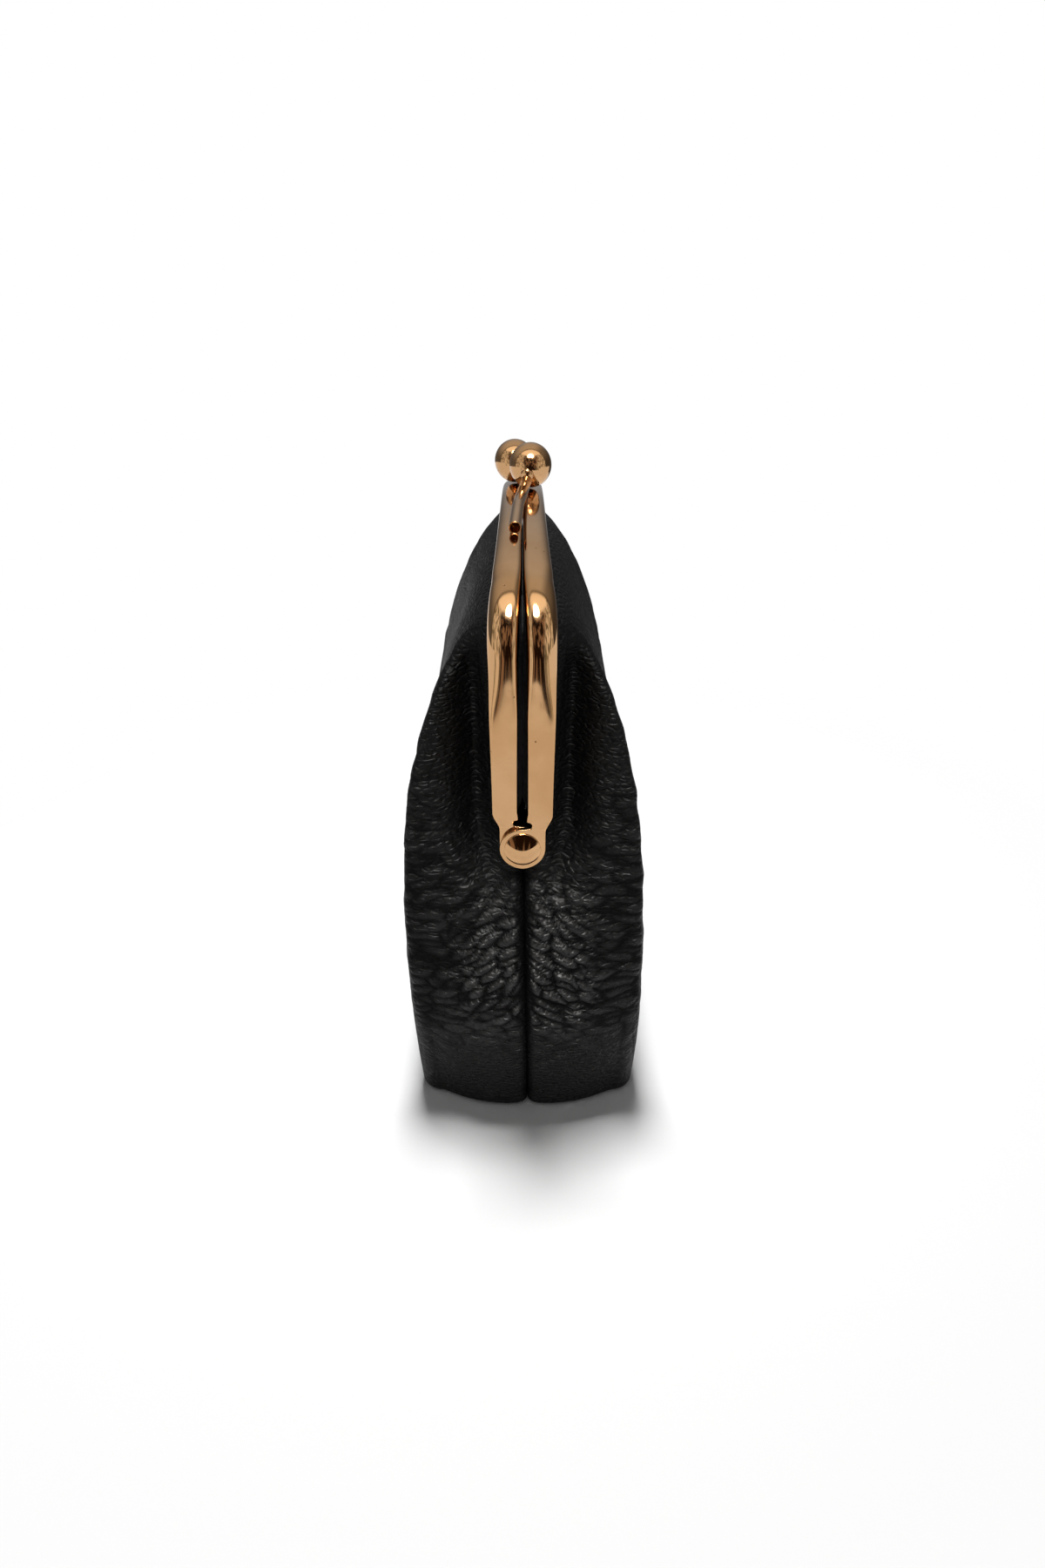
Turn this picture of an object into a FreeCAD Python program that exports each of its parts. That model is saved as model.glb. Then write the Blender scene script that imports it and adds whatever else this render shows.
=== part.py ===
"""Kiss lock frame purse: a boxed leather pouch in two hinged metal bows that snap shut with crossing balls.

Frame: +X along the purse to its right hinge, -Y the front, +Z up. The origin is on the ground under the
middle of the base. All sizes are in millimetres.
"""
import FreeCAD, Part
import math
import os

# Metal frame
FRAME_LENGTH = 116.0      # outside of one arm to outside of the other
FRAME_TOP = 112.7         # crown of the arched top bar at its middle
ARCH_RADIUS = 170.0
CORNER_RADIUS = 12.0
CHANNEL_DEPTH = 5.5
CHANNEL_WALL = 0.65
CROWN_DROP = 1.2          # how far the rounded web falls to each flange
FOOT_CROWN_DROP = 0.5     # the web is beaten flatter at the foot of each arm
HINGE_HEIGHT = 59.5
FOOT_ABOVE_HINGE = 7.2    # where the channel ends and the hinge tab begins
MID_OUTER = 4.25          # outer and inner flange faces, measured from the parting plane
MID_INNER = 0.2
CORNER_TOP_OUTER = 5.0
CORNER_TOP_INNER = 0.28
CORNER_FOOT_OUTER = 5.7
CORNER_FOOT_INNER = 0.4
FOOT_OUTER = 5.2
FOOT_INNER = 0.95

# Hinge tabs and rivets
TAB_THICKNESS = 0.8
TAB_GAP = 0.08
TAB_OVERLAP = 1.0         # how far the tab runs up into the foot of the arm
TAB_SHOULDER = 0.4        # below the foot, where the tab starts to narrow
EYE_RADIUS = 4.0
NECK_ABOVE_HINGE = 3.3
EYE_LEAN = 80.0           # degrees round the eye to where its rim meets the arm
NOTCH_RADIUS = 0.6
NOTCH_CLEARANCE = 0.1
JOGGLE_TOP = 6.4
JOGGLE_FOOT = 5.3
RIVET_RADIUS = 1.4
RIVET_CLEARANCE = 0.05
RIVET_HEAD_RADIUS = 3.2
RIVET_HEAD_HEIGHT = 1.1
RIVET_TAIL_RADIUS = 2.2
RIVET_TAIL_HEIGHT = 0.7

# Clasp
BALL_DIAMETER = 8.5
BALL_GAP = 0.5            # between the two balls, along the bar
BALL_Y = 1.6
BALL_LIFT = 0.07          # under the ball, over the top of the bar
ARM_TUBE_DIAMETER = 2.2
ARM_BORE_DIAMETER = 1.5
ARM_BORE_DEPTH = 4.0
ARM_START_X = 37.0
ARM_SEAT_X = 30.0         # where the straight run rests on the arched bar
ARM_LEAVE_X = 24.0
ARM_SEAT_Y = 1.05
ARM_SLANT = 0.045         # sideways per length along the bar
ARM_BEND_RADIUS = 7.0
ARM_LIFT = 0.02           # under the tube where it turns in to the ball
ARM_TURN_OUT = 0.95       # from the ball's surface to the second bend, along the bar
SOLDER_GAP = 0.03
SOCKET_CLEARANCE = 0.02

# Leather, lining, paper cord and base board
LEATHER_THICKNESS = 1.0
LINING_THICKNESS = 0.3
LAYER_GAP = 0.05
CHANNEL_GAP = 0.12        # between the outer flange and the leather in it
CORD_CLEARANCE = 0.13     # left across the channel once its layers are in
CORD_ABOVE_LIP = 1.6
RIM_BELOW_WEB = 0.75      # from the web's edge to the leather's edge inside the channel
MOUTH_BELOW_LIP = 0.3     # from the channel's lip to the leather that turns out under it
SEAM_GAP = 0.01
BASE_HALF_LENGTH = 61.6
BASE_CORNER_X = 58.0
BASE_HALF_DEPTH = 21.6
BASE_CORNER_RADIUS = 4.0
SHOULDER_OUT = 14.0
SHOULDER_FALL = 12.6
BULGE_OUT = 8.0
BULGE_HEIGHT = 40.0
END_BULGE = 4.9
FLOOR_BLEND = 26.0        # the wall's foot is lifted to its floor over this height
SEAM_TOP_BELOW_HINGE = 2.5
SEAM_SETBACK = 4.0
BOARD_THICKNESS = 1.4
BOARD_INSET = 1.6
BOARD_CORNER = 4.0

# Worked out from the sizes above
HALF = FRAME_LENGTH / 2
ARCH_CENTRE = FRAME_TOP - ARCH_RADIUS
CORNER_X = HALF - CORNER_RADIUS
CORNER_Z = ARCH_CENTRE + math.sqrt((ARCH_RADIUS - CORNER_RADIUS) ** 2 - CORNER_X ** 2)
CORNER_ANGLE = math.atan2(CORNER_Z - ARCH_CENTRE, CORNER_X)
FOOT_Z = HINGE_HEIGHT + FOOT_ABOVE_HINGE
BALL_RADIUS = BALL_DIAMETER / 2
BALL_X = BALL_RADIUS + BALL_GAP / 2
ARM_RADIUS = ARM_TUBE_DIAMETER / 2
TAB_TOP = FOOT_Z + TAB_OVERLAP
RIM_DEPTH = CROWN_DROP + CHANNEL_WALL + RIM_BELOW_WEB
MOUTH_DEPTH = CHANNEL_DEPTH + MOUTH_BELOW_LIP + LEATHER_THICKNESS / 2
CORD_DEPTH = CHANNEL_DEPTH - CORD_ABOVE_LIP
LAYERS = CHANNEL_WALL + CHANNEL_GAP + LEATHER_THICKNESS + LINING_THICKNESS + 2 * LAYER_GAP
CORD_DIAMETER = MID_OUTER - MID_INNER - CHANNEL_WALL - LAYERS - CORD_CLEARANCE

# Stations along half the bow: seam, arm foot, arm top, end of the corner, middle of the bar
FOOT_AT = 0.12
ARM_TOP_AT = 0.36
CORNER_AT = 0.46

V = FreeCAD.Vector
UP = V(0, 0, 1)
ALONG = V(1, 0, 0)
ACROSS = V(0, 1, 0)


def smoothstep(t):
    """Ease from 0 to 1 with level ends."""
    t = min(1.0, max(0.0, t))
    return t * t * (3 - 2 * t)


def mix(a, b, t):
    """Straight blend of two numbers."""
    return a + (b - a) * t


def keyed(keys, values, t):
    """Cubic curve through keyed numbers."""
    last = len(keys) - 1
    i = 0
    while i < last - 1 and t > keys[i + 1]:
        i += 1

    def slope(k):
        lo = max(0, k - 1)
        hi = min(last, k + 1)
        return (values[hi] - values[lo]) / (keys[hi] - keys[lo])

    step = keys[i + 1] - keys[i]
    s = (t - keys[i]) / step
    h00 = (1 + 2 * s) * (1 - s) ** 2
    h10 = s * (1 - s) ** 2
    h01 = s * s * (3 - 2 * s)
    h11 = s * s * (s - 1)
    return h00 * values[i] + h10 * step * slope(i) + h01 * values[i + 1] + h11 * step * slope(i + 1)


def bow_station(t):
    """Crown point, outward direction and flange faces at station t of the right half of a bow."""
    if t <= ARM_TOP_AT:
        s = (t - FOOT_AT) / (ARM_TOP_AT - FOOT_AT)
        point = V(HALF, 0, mix(FOOT_Z, CORNER_Z, s))
        outer = mix(FOOT_OUTER, CORNER_FOOT_OUTER, smoothstep(s))
        inner = mix(FOOT_INNER, CORNER_FOOT_INNER, smoothstep(s))
        drop = mix(FOOT_CROWN_DROP, CROWN_DROP, smoothstep(s * 1.6))
        return point, ALONG, outer, inner, drop
    if t <= CORNER_AT:
        s = (t - ARM_TOP_AT) / (CORNER_AT - ARM_TOP_AT)
        a = CORNER_ANGLE * s
        out = V(math.cos(a), 0, math.sin(a))
        point = V(CORNER_X, 0, CORNER_Z) + out * CORNER_RADIUS
        outer = mix(CORNER_FOOT_OUTER, CORNER_TOP_OUTER, s * s)
        inner = mix(CORNER_FOOT_INNER, CORNER_TOP_INNER, s)
        return point, out, outer, inner, CROWN_DROP
    s = (t - CORNER_AT) / (1 - CORNER_AT)
    a = mix(CORNER_ANGLE, math.pi / 2, s)
    out = V(math.cos(a), 0, math.sin(a))
    point = V(0, 0, ARCH_CENTRE) + out * ARCH_RADIUS
    outer = mix(CORNER_TOP_OUTER, MID_OUTER, 1 - (1 - s) ** 3.2)
    inner = mix(CORNER_TOP_INNER, MID_INNER, s)
    return point, out, outer, inner, CROWN_DROP


def channel_section(t, side):
    """Closed outline of the folded channel at station t; side is 1 for the right half, -1 for the left."""
    point, out, outer, inner, drop = bow_station(t)
    point = V(point.x * side, 0, point.z)
    out = V(out.x * side, 0, out.z)
    half_width = (outer - inner) / 2
    middle = (outer + inner) / 2
    radius = (half_width ** 2 + drop ** 2) / (2 * drop)
    inside = radius - CHANNEL_WALL
    inside_edge = -radius + math.sqrt(inside ** 2 - (half_width - CHANNEL_WALL) ** 2)

    def at(y, n):
        return point + out * n + V(0, y, 0)

    lip = -CHANNEL_DEPTH
    a = at(inner, lip)
    b = at(inner, -drop)
    c = at(outer, -drop)
    d = at(outer, lip)
    e = at(outer - CHANNEL_WALL, lip)
    f = at(outer - CHANNEL_WALL, inside_edge)
    g = at(inner + CHANNEL_WALL, inside_edge)
    h = at(inner + CHANNEL_WALL, lip)
    edges = [
        Part.makeLine(a, b),
        Part.Arc(b, at(middle, 0), c).toShape(),
        Part.makeLine(c, d),
        Part.makeLine(d, e),
        Part.makeLine(e, f),
        Part.Arc(f, at(middle, -CHANNEL_WALL), g).toShape(),
        Part.makeLine(g, h),
        Part.makeLine(h, a),
    ]
    return Part.Wire(edges)


def spaced(start, end, count):
    """Evenly spaced numbers from start to end."""
    return [mix(start, end, i / (count - 1)) for i in range(count)]


def make_channel():
    """Channel of the back bow: two tapering arms, two flared corners and the arched top bar."""
    pieces = []
    for side in (1, -1):
        arm = [channel_section(t, side) for t in spaced(FOOT_AT, ARM_TOP_AT, 5)]
        corner = [channel_section(t, side) for t in spaced(ARM_TOP_AT, CORNER_AT, 8)]
        pieces.append(Part.makeLoft(arm, True))
        pieces.append(Part.makeLoft(corner, True))
    right = [channel_section(t, 1) for t in spaced(CORNER_AT, 1.0, 7)]
    left = [channel_section(t, -1) for t in reversed(spaced(CORNER_AT, 1.0, 7)[:-1])]
    bar = Part.makeLoft(right + left, True)
    return bar.fuse(pieces).removeSplitter()


def tab_outline():
    """Hinge tab of the back bow in the YZ plane: arm foot, shoulder, neck and round eye."""
    neck_z = HINGE_HEIGHT + NECK_ABOVE_HINGE
    shoulder_z = FOOT_Z - TAB_SHOULDER
    mid_y = (FOOT_OUTER + EYE_RADIUS) / 2
    mid_z = (shoulder_z + neck_z) / 2
    low = V(0, EYE_RADIUS, HINGE_HEIGHT)
    shoulder = V(0, FOOT_OUTER, shoulder_z)
    neck = V(0, EYE_RADIUS, neck_z)
    upper = V(0, mix(FOOT_OUTER, mid_y, 0.25), mix(shoulder_z, mid_z, 0.5))
    lower = V(0, mix(EYE_RADIUS, mid_y, 0.25), mix(neck_z, mid_z, 0.5))
    eye_bottom = V(0, 0, HINGE_HEIGHT - EYE_RADIUS)
    eye_side = V(0, -EYE_RADIUS, HINGE_HEIGHT)
    lean = math.radians(EYE_LEAN)
    eighth = EYE_RADIUS * math.sqrt(0.5)
    eye_top = V(0, EYE_RADIUS * math.cos(lean), HINGE_HEIGHT + EYE_RADIUS * math.sin(lean))
    eye_left = V(0, -eighth, HINGE_HEIGHT + eighth)
    neck_curve = Part.BSplineCurve()
    neck_curve.interpolate([shoulder, upper, V(0, mid_y, mid_z), lower, neck])
    edges = [
        Part.makeLine(V(0, FOOT_INNER, TAB_TOP), V(0, FOOT_OUTER, TAB_TOP)),
        Part.makeLine(V(0, FOOT_OUTER, TAB_TOP), shoulder),
        neck_curve.toShape(),
        Part.makeLine(neck, low),
        Part.Arc(low, eye_bottom, eye_side).toShape(),
        Part.Arc(eye_side, eye_left, eye_top).toShape(),
        Part.makeLine(eye_top, V(0, FOOT_INNER, TAB_TOP)),
    ]
    return Part.Face(Part.Wire(edges))


def make_tab(joggled):
    """One right-hand hinge tab on the +Y side, flat for the outer bow or set inwards for the inner bow."""
    bottom = HINGE_HEIGHT - EYE_RADIUS - 1.0
    shift = TAB_THICKNESS + TAB_GAP if joggled else 0.0
    joggle_top = HINGE_HEIGHT + JOGGLE_TOP
    joggle_foot = HINGE_HEIGHT + JOGGLE_FOOT
    inside = HALF - TAB_THICKNESS
    strip_points = [
        V(HALF, -30, TAB_TOP),
        V(HALF, -30, joggle_top),
        V(HALF - shift, -30, joggle_foot),
        V(HALF - shift, -30, bottom),
        V(inside - shift, -30, bottom),
        V(inside - shift, -30, joggle_foot),
        V(inside, -30, joggle_top),
        V(inside, -30, TAB_TOP),
    ]
    strip = Part.Face(Part.makePolygon(strip_points + strip_points[:1])).extrude(V(0, 60, 0))
    outline = tab_outline()
    outline.translate(V(HALF - 10, 0, 0))
    plate = outline.extrude(V(20, 0, 0)).common(strip)
    notch_z = HINGE_HEIGHT + EYE_RADIUS + NOTCH_RADIUS + NOTCH_CLEARANCE
    notch_centre = V(HALF - 10, FOOT_INNER + NOTCH_CLEARANCE, notch_z)
    notch = Part.makeCylinder(NOTCH_RADIUS, 20, notch_centre, ALONG)
    bore = Part.makeCylinder(RIVET_RADIUS + RIVET_CLEARANCE, 20, V(HALF - 10, 0, HINGE_HEIGHT), ALONG)
    return plate.cut(notch).cut(bore).removeSplitter()


def make_bow(joggled):
    """Whole bow on the +Y side."""
    tab = make_tab(joggled)
    other = tab.mirror(V(0, 0, 0), ALONG)
    return make_channel().fuse([tab, other])


def make_rivet():
    """Right-hand hinge rivet: low domed head, shank and peened tail."""
    head_base = HALF + SOLDER_GAP
    tail_face = HALF - 2 * TAB_THICKNESS - TAB_GAP - SOLDER_GAP
    dome_radius = (RIVET_HEAD_RADIUS ** 2 + RIVET_HEAD_HEIGHT ** 2) / (2 * RIVET_HEAD_HEIGHT)
    dome = Part.makeSphere(dome_radius, V(head_base + RIVET_HEAD_HEIGHT - dome_radius, 0, HINGE_HEIGHT))
    head_centre = V(head_base, 0, HINGE_HEIGHT)
    head = dome.common(Part.makeCylinder(RIVET_HEAD_RADIUS, 2 * RIVET_HEAD_HEIGHT, head_centre, ALONG))
    shank_start = tail_face - RIVET_TAIL_HEIGHT / 2
    shank_length = head_base + RIVET_HEAD_HEIGHT / 2 - shank_start
    shank = Part.makeCylinder(RIVET_RADIUS, shank_length, V(shank_start, 0, HINGE_HEIGHT), ALONG)
    tail_start = tail_face - RIVET_TAIL_HEIGHT
    tail = Part.makeCylinder(RIVET_TAIL_RADIUS, RIVET_TAIL_HEIGHT, V(tail_start, 0, HINGE_HEIGHT), ALONG)
    tail_edge = [e for e in tail.Edges if e.Length > 6 and e.BoundBox.XMax < tail_face - 0.1]
    tail = tail.makeFillet(RIVET_TAIL_HEIGHT * 0.6, tail_edge)
    return shank.fuse([head, tail]).removeSplitter()


def bar_station(x):
    """Station of the top bar over a place x along the purse."""
    a = math.acos(x / ARCH_RADIUS)
    return CORNER_AT + (1 - CORNER_AT) * (a - CORNER_ANGLE) / (math.pi / 2 - CORNER_ANGLE)


def seat_height(x, y):
    """Height of the tube's middle when it lies on the rounded crown of the front bow."""
    point, out, outer, inner, drop = bow_station(bar_station(x))
    half_width = (outer - inner) / 2
    radius = (half_width ** 2 + drop ** 2) / (2 * drop)
    offset = (outer + inner) / 2 - y
    reach = radius + ARM_RADIUS + SOLDER_GAP
    return point.z - radius + math.sqrt(reach ** 2 - offset ** 2)


def rounded_path(points, radius):
    """Straight runs through some points, joined by tangent arcs."""
    edges = []
    start = points[0]
    for before, corner, after in zip(points, points[1:], points[2:]):
        back = before - corner
        ahead = after - corner
        back.normalize()
        ahead.normalize()
        half_turn = (math.pi - back.getAngle(ahead)) / 2
        reach = radius * math.tan(half_turn)
        bisector = back + ahead
        bisector.normalize()
        centre = corner + bisector * (radius / math.cos(half_turn))
        entry = corner + back * reach
        leave = corner + ahead * reach
        edges.append(Part.makeLine(start, entry))
        edges.append(Part.Arc(entry, centre - bisector * radius, leave).toShape())
        start = leave
    edges.append(Part.makeLine(start, points[-1]))
    return Part.Wire(edges)


def arm_points():
    """Corners of the front clasp arm's middle line: open end, two bends and the tip inside the ball."""
    seat = V(ARM_SEAT_X, -ARM_SEAT_Y, seat_height(ARM_SEAT_X, ARM_SEAT_Y))
    fall = ARM_SEAT_X / math.sqrt(ARCH_RADIUS ** 2 - ARM_SEAT_X ** 2)
    along = V(-1, ARM_SLANT, fall)
    ball = ball_centre()
    tip = ball + V(1.4, -0.3, -1.6)
    turn = V(ball.x + BALL_RADIUS + ARM_TURN_OUT, ball.y - 1.1, FRAME_TOP + ARM_RADIUS + ARM_LIFT)
    return [
        seat - along * (ARM_START_X - ARM_SEAT_X),
        seat + along * (ARM_SEAT_X - ARM_LEAVE_X),
        turn,
        tip,
    ]


def ball_centre():
    """Middle of the ball carried by the front bow."""
    return V(BALL_X, BALL_Y, FRAME_TOP + BALL_LIFT + BALL_RADIUS)


def make_arm_rod(radius):
    """Solid rod along the clasp arm's middle line."""
    points = arm_points()
    ring = Part.Wire([Part.makeCircle(radius, points[0], points[1] - points[0])])
    return rounded_path(points, ARM_BEND_RADIUS).makePipeShell([ring], True, False)


def make_clasp_arm():
    """Clasp arm of the front bow: a bent tube with an open outer end."""
    points = arm_points()
    heading = points[1] - points[0]
    heading.normalize()
    mouth = points[0] - heading * 0.5
    bore = Part.makeCylinder(ARM_BORE_DIAMETER / 2, ARM_BORE_DEPTH + 0.5, mouth, heading)
    return make_arm_rod(ARM_RADIUS).cut(bore)


def make_clasp_ball():
    """Ball of the front bow with a blind socket for the arm's tip."""
    ball = Part.makeSphere(BALL_RADIUS, ball_centre(), V(0, 0, 1))
    return ball.cut(make_arm_rod(ARM_RADIUS + SOCKET_CLEARANCE))


def layer_face(t):
    """Distance from the parting plane to the middle of the leather in the channel at station t."""
    outer = bow_station(max(t, FOOT_AT))[2]
    return outer - CHANNEL_WALL - CHANNEL_GAP - LEATHER_THICKNESS / 2


def channel_point(t, depth, seam_point):
    """Point on the leather's middle surface at a depth below the crown; under the foot it meets the seam."""
    if t >= FOOT_AT:
        point, out, outer, inner, drop = bow_station(t)
        return V(point.x, -layer_face(t), point.z) - out * depth
    s = t / FOOT_AT
    foot = V(HALF - depth, -layer_face(FOOT_AT), FOOT_Z)
    turn = s * math.pi / 2
    rise = 1 - math.cos(turn)
    x = mix(seam_point.x, foot.x, smoothstep(s))
    return V(x, foot.y * math.sin(turn), mix(seam_point.z, foot.z, rise))


# Stations of the hand-placed wall curves, from the seam to the middle of the purse
KEYS = (0.0, 0.12, 0.24, 0.36, 0.41, 0.46, 0.72, 1.0)
SHOULDER_X = (1.5, 0.5, -1.0, -2.0, -3.5, -2.5, -0.8, 0.0)
SHOULDER_Y = (0.0, 0.5, 0.89, 0.96, 1.0, 1.0, 1.0, 1.0)
SHOULDER_Z = (0.87, 0.63, 0.32, 0.32, 0.52, 0.87, 0.99, 1.0)
BULGE_X = (1.0, 0.82, 0.53, 0.1, -0.1, -0.1, 0.0, 0.0)
BULGE_Y = (0.0, 0.31, 0.69, 0.94, 1.0, 1.0, 1.0, 1.0)
BULGE_Z = (0.65, 0.75, 0.95, 1.0, 1.0, 1.0, 1.0, 1.0)
BASE_END_AT = 0.32


def base_point(t):
    """Outline of the base at station t: a swelling end edge, a rounded corner and a straight front edge."""
    straight_depth = BASE_HALF_DEPTH - BASE_CORNER_RADIUS
    straight_length = BASE_CORNER_X - BASE_CORNER_RADIUS
    if t <= BASE_END_AT:
        s = t / BASE_END_AT
        swell = (BASE_HALF_LENGTH - BASE_CORNER_X) * math.cos(s * math.pi / 2) ** 2
        return V(BASE_CORNER_X + swell, -straight_depth * s, 0)
    if t <= CORNER_AT:
        a = (t - BASE_END_AT) / (CORNER_AT - BASE_END_AT) * math.pi / 2
        x = straight_length + BASE_CORNER_RADIUS * math.cos(a)
        return V(x, -straight_depth - BASE_CORNER_RADIUS * math.sin(a), 0)
    return V(straight_length * (1 - t) / (1 - CORNER_AT), -BASE_HALF_DEPTH, 0)


def wall_curve(t):
    """Five guide points of the leather's middle surface at station t, from the rim to the base."""
    seam_rim = V(HALF - SEAM_SETBACK, 0, HINGE_HEIGHT - SEAM_TOP_BELOW_HINGE)
    seam_mouth = seam_rim - V(1.0, 0, 2.0)
    rim = channel_point(t, RIM_DEPTH, seam_rim)
    mouth = channel_point(t, MOUTH_DEPTH, seam_mouth)
    shoulder = mouth + V(
        keyed(KEYS, SHOULDER_X, t),
        -SHOULDER_OUT * keyed(KEYS, SHOULDER_Y, t),
        -SHOULDER_FALL * keyed(KEYS, SHOULDER_Z, t),
    )
    base = base_point(t)
    bulge = base + V(
        END_BULGE * keyed(KEYS, BULGE_X, t),
        -BULGE_OUT * keyed(KEYS, BULGE_Y, t),
        BULGE_HEIGHT * keyed(KEYS, BULGE_Z, t),
    )
    return rim, mouth, shoulder, bulge, base


WALL_STATIONS = (
    0.0, 0.03, 0.06, 0.09, 0.12, 0.16, 0.20, 0.24, 0.28, 0.32, 0.36, 0.385, 0.41, 0.435, 0.46,
    0.50, 0.56, 0.63, 0.72, 0.81, 0.90, 1.0,
)
TONGUE_STEPS = (0.0, 0.35, 0.68)
TURN_START = 0.8
TURN_END = 0.05
TURN_STEPS = (0.0, 0.25, 0.5, 0.75, 1.0)
WALL_STEPS = (0.09, 0.14, 0.20, 0.27, 0.36, 0.46, 0.56, 0.66, 0.76, 0.86, 0.94, 1.0)


def wall_column(t, side):
    """Points of the middle surface from the rim down to the base at station t."""
    rim, mouth, shoulder, bulge, base = wall_curve(t)

    def wall(s):
        r = 1 - s
        return mouth * r ** 3 + shoulder * (3 * r * r * s) + bulge * (3 * r * s * s) + base * s ** 3

    turn_from = rim + (mouth - rim) * TURN_START
    turn_to = wall(TURN_END)
    column = [rim + (mouth - rim) * s for s in TONGUE_STEPS]
    for s in TURN_STEPS:
        column.append(turn_from * (1 - s) ** 2 + mouth * (2 * s * (1 - s)) + turn_to * s * s)
    column += [wall(s) for s in WALL_STEPS]
    return [V(p.x * side, p.y, p.z) for p in column]


def middle_grid():
    """Whole middle surface of the front wall, from the right seam over the top to the left seam."""
    right = [wall_column(t, 1) for t in WALL_STATIONS]
    left = [wall_column(t, -1) for t in reversed(WALL_STATIONS[:-1])]
    return right + left


def offset_grid(grid, distance, floor):
    """Grid moved out along its normals, its ends kept on the seam plane and its foot on a level floor."""
    columns = len(grid)
    rows = len(grid[0])
    moved = []
    for i in range(columns):
        column = []
        for j in range(rows):
            along = grid[min(i + 1, columns - 1)][j] - grid[max(i - 1, 0)][j]
            down = grid[i][min(j + 1, rows - 1)] - grid[i][max(j - 1, 0)]
            at_seam = i in (0, columns - 1)
            if at_seam:
                along = V(0, -1 if i == 0 else 1, 0)
            normal = along.cross(down)
            normal.normalize()
            point = grid[i][j] + normal * distance
            if at_seam:
                point.y = 0
            point.y = point.y - SEAM_GAP
            point.z = point.z + floor * (1 - smoothstep(point.z / FLOOR_BLEND))
            if j == rows - 1:
                point.z = floor
            column.append(point)
        moved.append(column)
    return moved


def clamped_knots(count):
    """Evenly spaced knots and their multiplicities for a cubic spline of some control points."""
    spans = count - 3
    return [float(k) for k in range(spans + 1)], [4] + [1] * (spans - 1) + [4]


def spline_face(grid):
    """Smooth cubic face shaped by a net of control points."""
    u_knots, u_mults = clamped_knots(len(grid))
    v_knots, v_mults = clamped_knots(len(grid[0]))
    surface = Part.BSplineSurface()
    surface.buildFromPolesMultsKnots(grid, u_mults, v_mults, u_knots, v_knots, False, False, 3, 3)
    return surface.toShape()


def edge_between(face, start, end):
    """Edge of a face that runs between two of its corners."""
    for edge in face.Edges:
        ends = [vertex.Point for vertex in edge.Vertexes]
        if all(min(p.distanceToPoint(q) for q in ends) < 1e-6 for p in (start, end)):
            return edge
    raise ValueError("edge not found")


def make_panel(outside, inside, floor_outside, floor_inside):
    """Half of a soft box: a curved wall between two offsets of the middle surface, with half the floor."""
    middle = middle_grid()
    outer = offset_grid(middle, outside, floor_outside)
    inner = offset_grid(middle, inside, floor_inside)
    faces = []
    ends = []
    for grid in (outer, inner):
        face = spline_face(grid)
        foot = edge_between(face, grid[0][-1], grid[-1][-1])
        rim = edge_between(face, grid[0][0], grid[-1][0])
        right = edge_between(face, grid[0][0], grid[0][-1])
        left = edge_between(face, grid[-1][0], grid[-1][-1])
        line = Part.makeLine(grid[-1][-1], grid[0][-1])
        faces.append(face)
        faces.append(Part.Face(Part.Wire(Part.__sortEdges__([foot, line]))))
        ends.append((rim, right, left, line))
    faces.append(Part.makeRuledSurface(ends[0][0], ends[1][0]))
    right_top = Part.makeLine(outer[0][0], inner[0][0])
    left_top = Part.makeLine(outer[-1][0], inner[-1][0])
    loop = [ends[0][1], ends[0][3], ends[0][2], left_top, ends[1][2], ends[1][3], ends[1][1], right_top]
    faces.append(Part.Face(Part.Wire(Part.__sortEdges__(loop))))
    shell = Part.makeShell(faces)
    shell.sewShape()
    solid = Part.makeSolid(shell)
    if solid.Volume < 0:
        solid.reverse()
    return solid


def make_cord():
    """Paper cord of the front bow, wedged between the lining and the inner flange, leaning with the arms."""
    top_y = MID_OUTER - LAYERS - CORD_DIAMETER / 2
    foot_y = FOOT_OUTER - LAYERS - CORD_DIAMETER / 2
    foot_z = FOOT_Z + 1.0
    top_z = FRAME_TOP - CORD_DEPTH
    bend = CORNER_RADIUS - CORD_DEPTH
    crown = ARCH_RADIUS - CORD_DEPTH
    half = HALF - CORD_DEPTH

    def corner_at(a, side):
        return V(side * (CORNER_X + bend * math.cos(a)), 0, CORNER_Z + bend * math.sin(a))

    def corner(side):
        return [corner_at(CORNER_ANGLE * share, side) for share in (0.0, 0.5, 1.0)]

    top = V(0, 0, ARCH_CENTRE + crown)
    edges = [
        Part.makeLine(V(half, 0, foot_z), V(half, 0, CORNER_Z)),
        Part.Arc(*corner(1)).toShape(),
        Part.Arc(corner_at(CORNER_ANGLE, 1), top, corner_at(CORNER_ANGLE, -1)).toShape(),
        Part.Arc(*reversed(corner(-1))).toShape(),
        Part.makeLine(V(-half, 0, CORNER_Z), V(-half, 0, foot_z)),
    ]
    ring = Part.Wire([Part.makeCircle(CORD_DIAMETER / 2, V(half, 0, foot_z), UP)])
    cord = Part.Wire(edges).makePipeShell([ring], True, False)
    lean = math.degrees(math.atan2(foot_y - top_y, top_z - foot_z))
    cord.rotate(V(0, 0, top_z), ALONG, -lean)
    cord.translate(V(0, -top_y, 0))
    return cord


def make_board():
    """Stiff board under the lining."""
    x = BASE_CORNER_X - BOARD_INSET
    y = BASE_HALF_DEPTH - BOARD_INSET
    low = LEATHER_THICKNESS + LAYER_GAP
    board = Part.makeBox(2 * x, 2 * y, BOARD_THICKNESS, V(-x, -y, low))
    corners = [e for e in board.Edges if abs(e.BoundBox.ZLength - BOARD_THICKNESS) < 1e-6]
    return board.makeFillet(BOARD_CORNER, corners)


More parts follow.
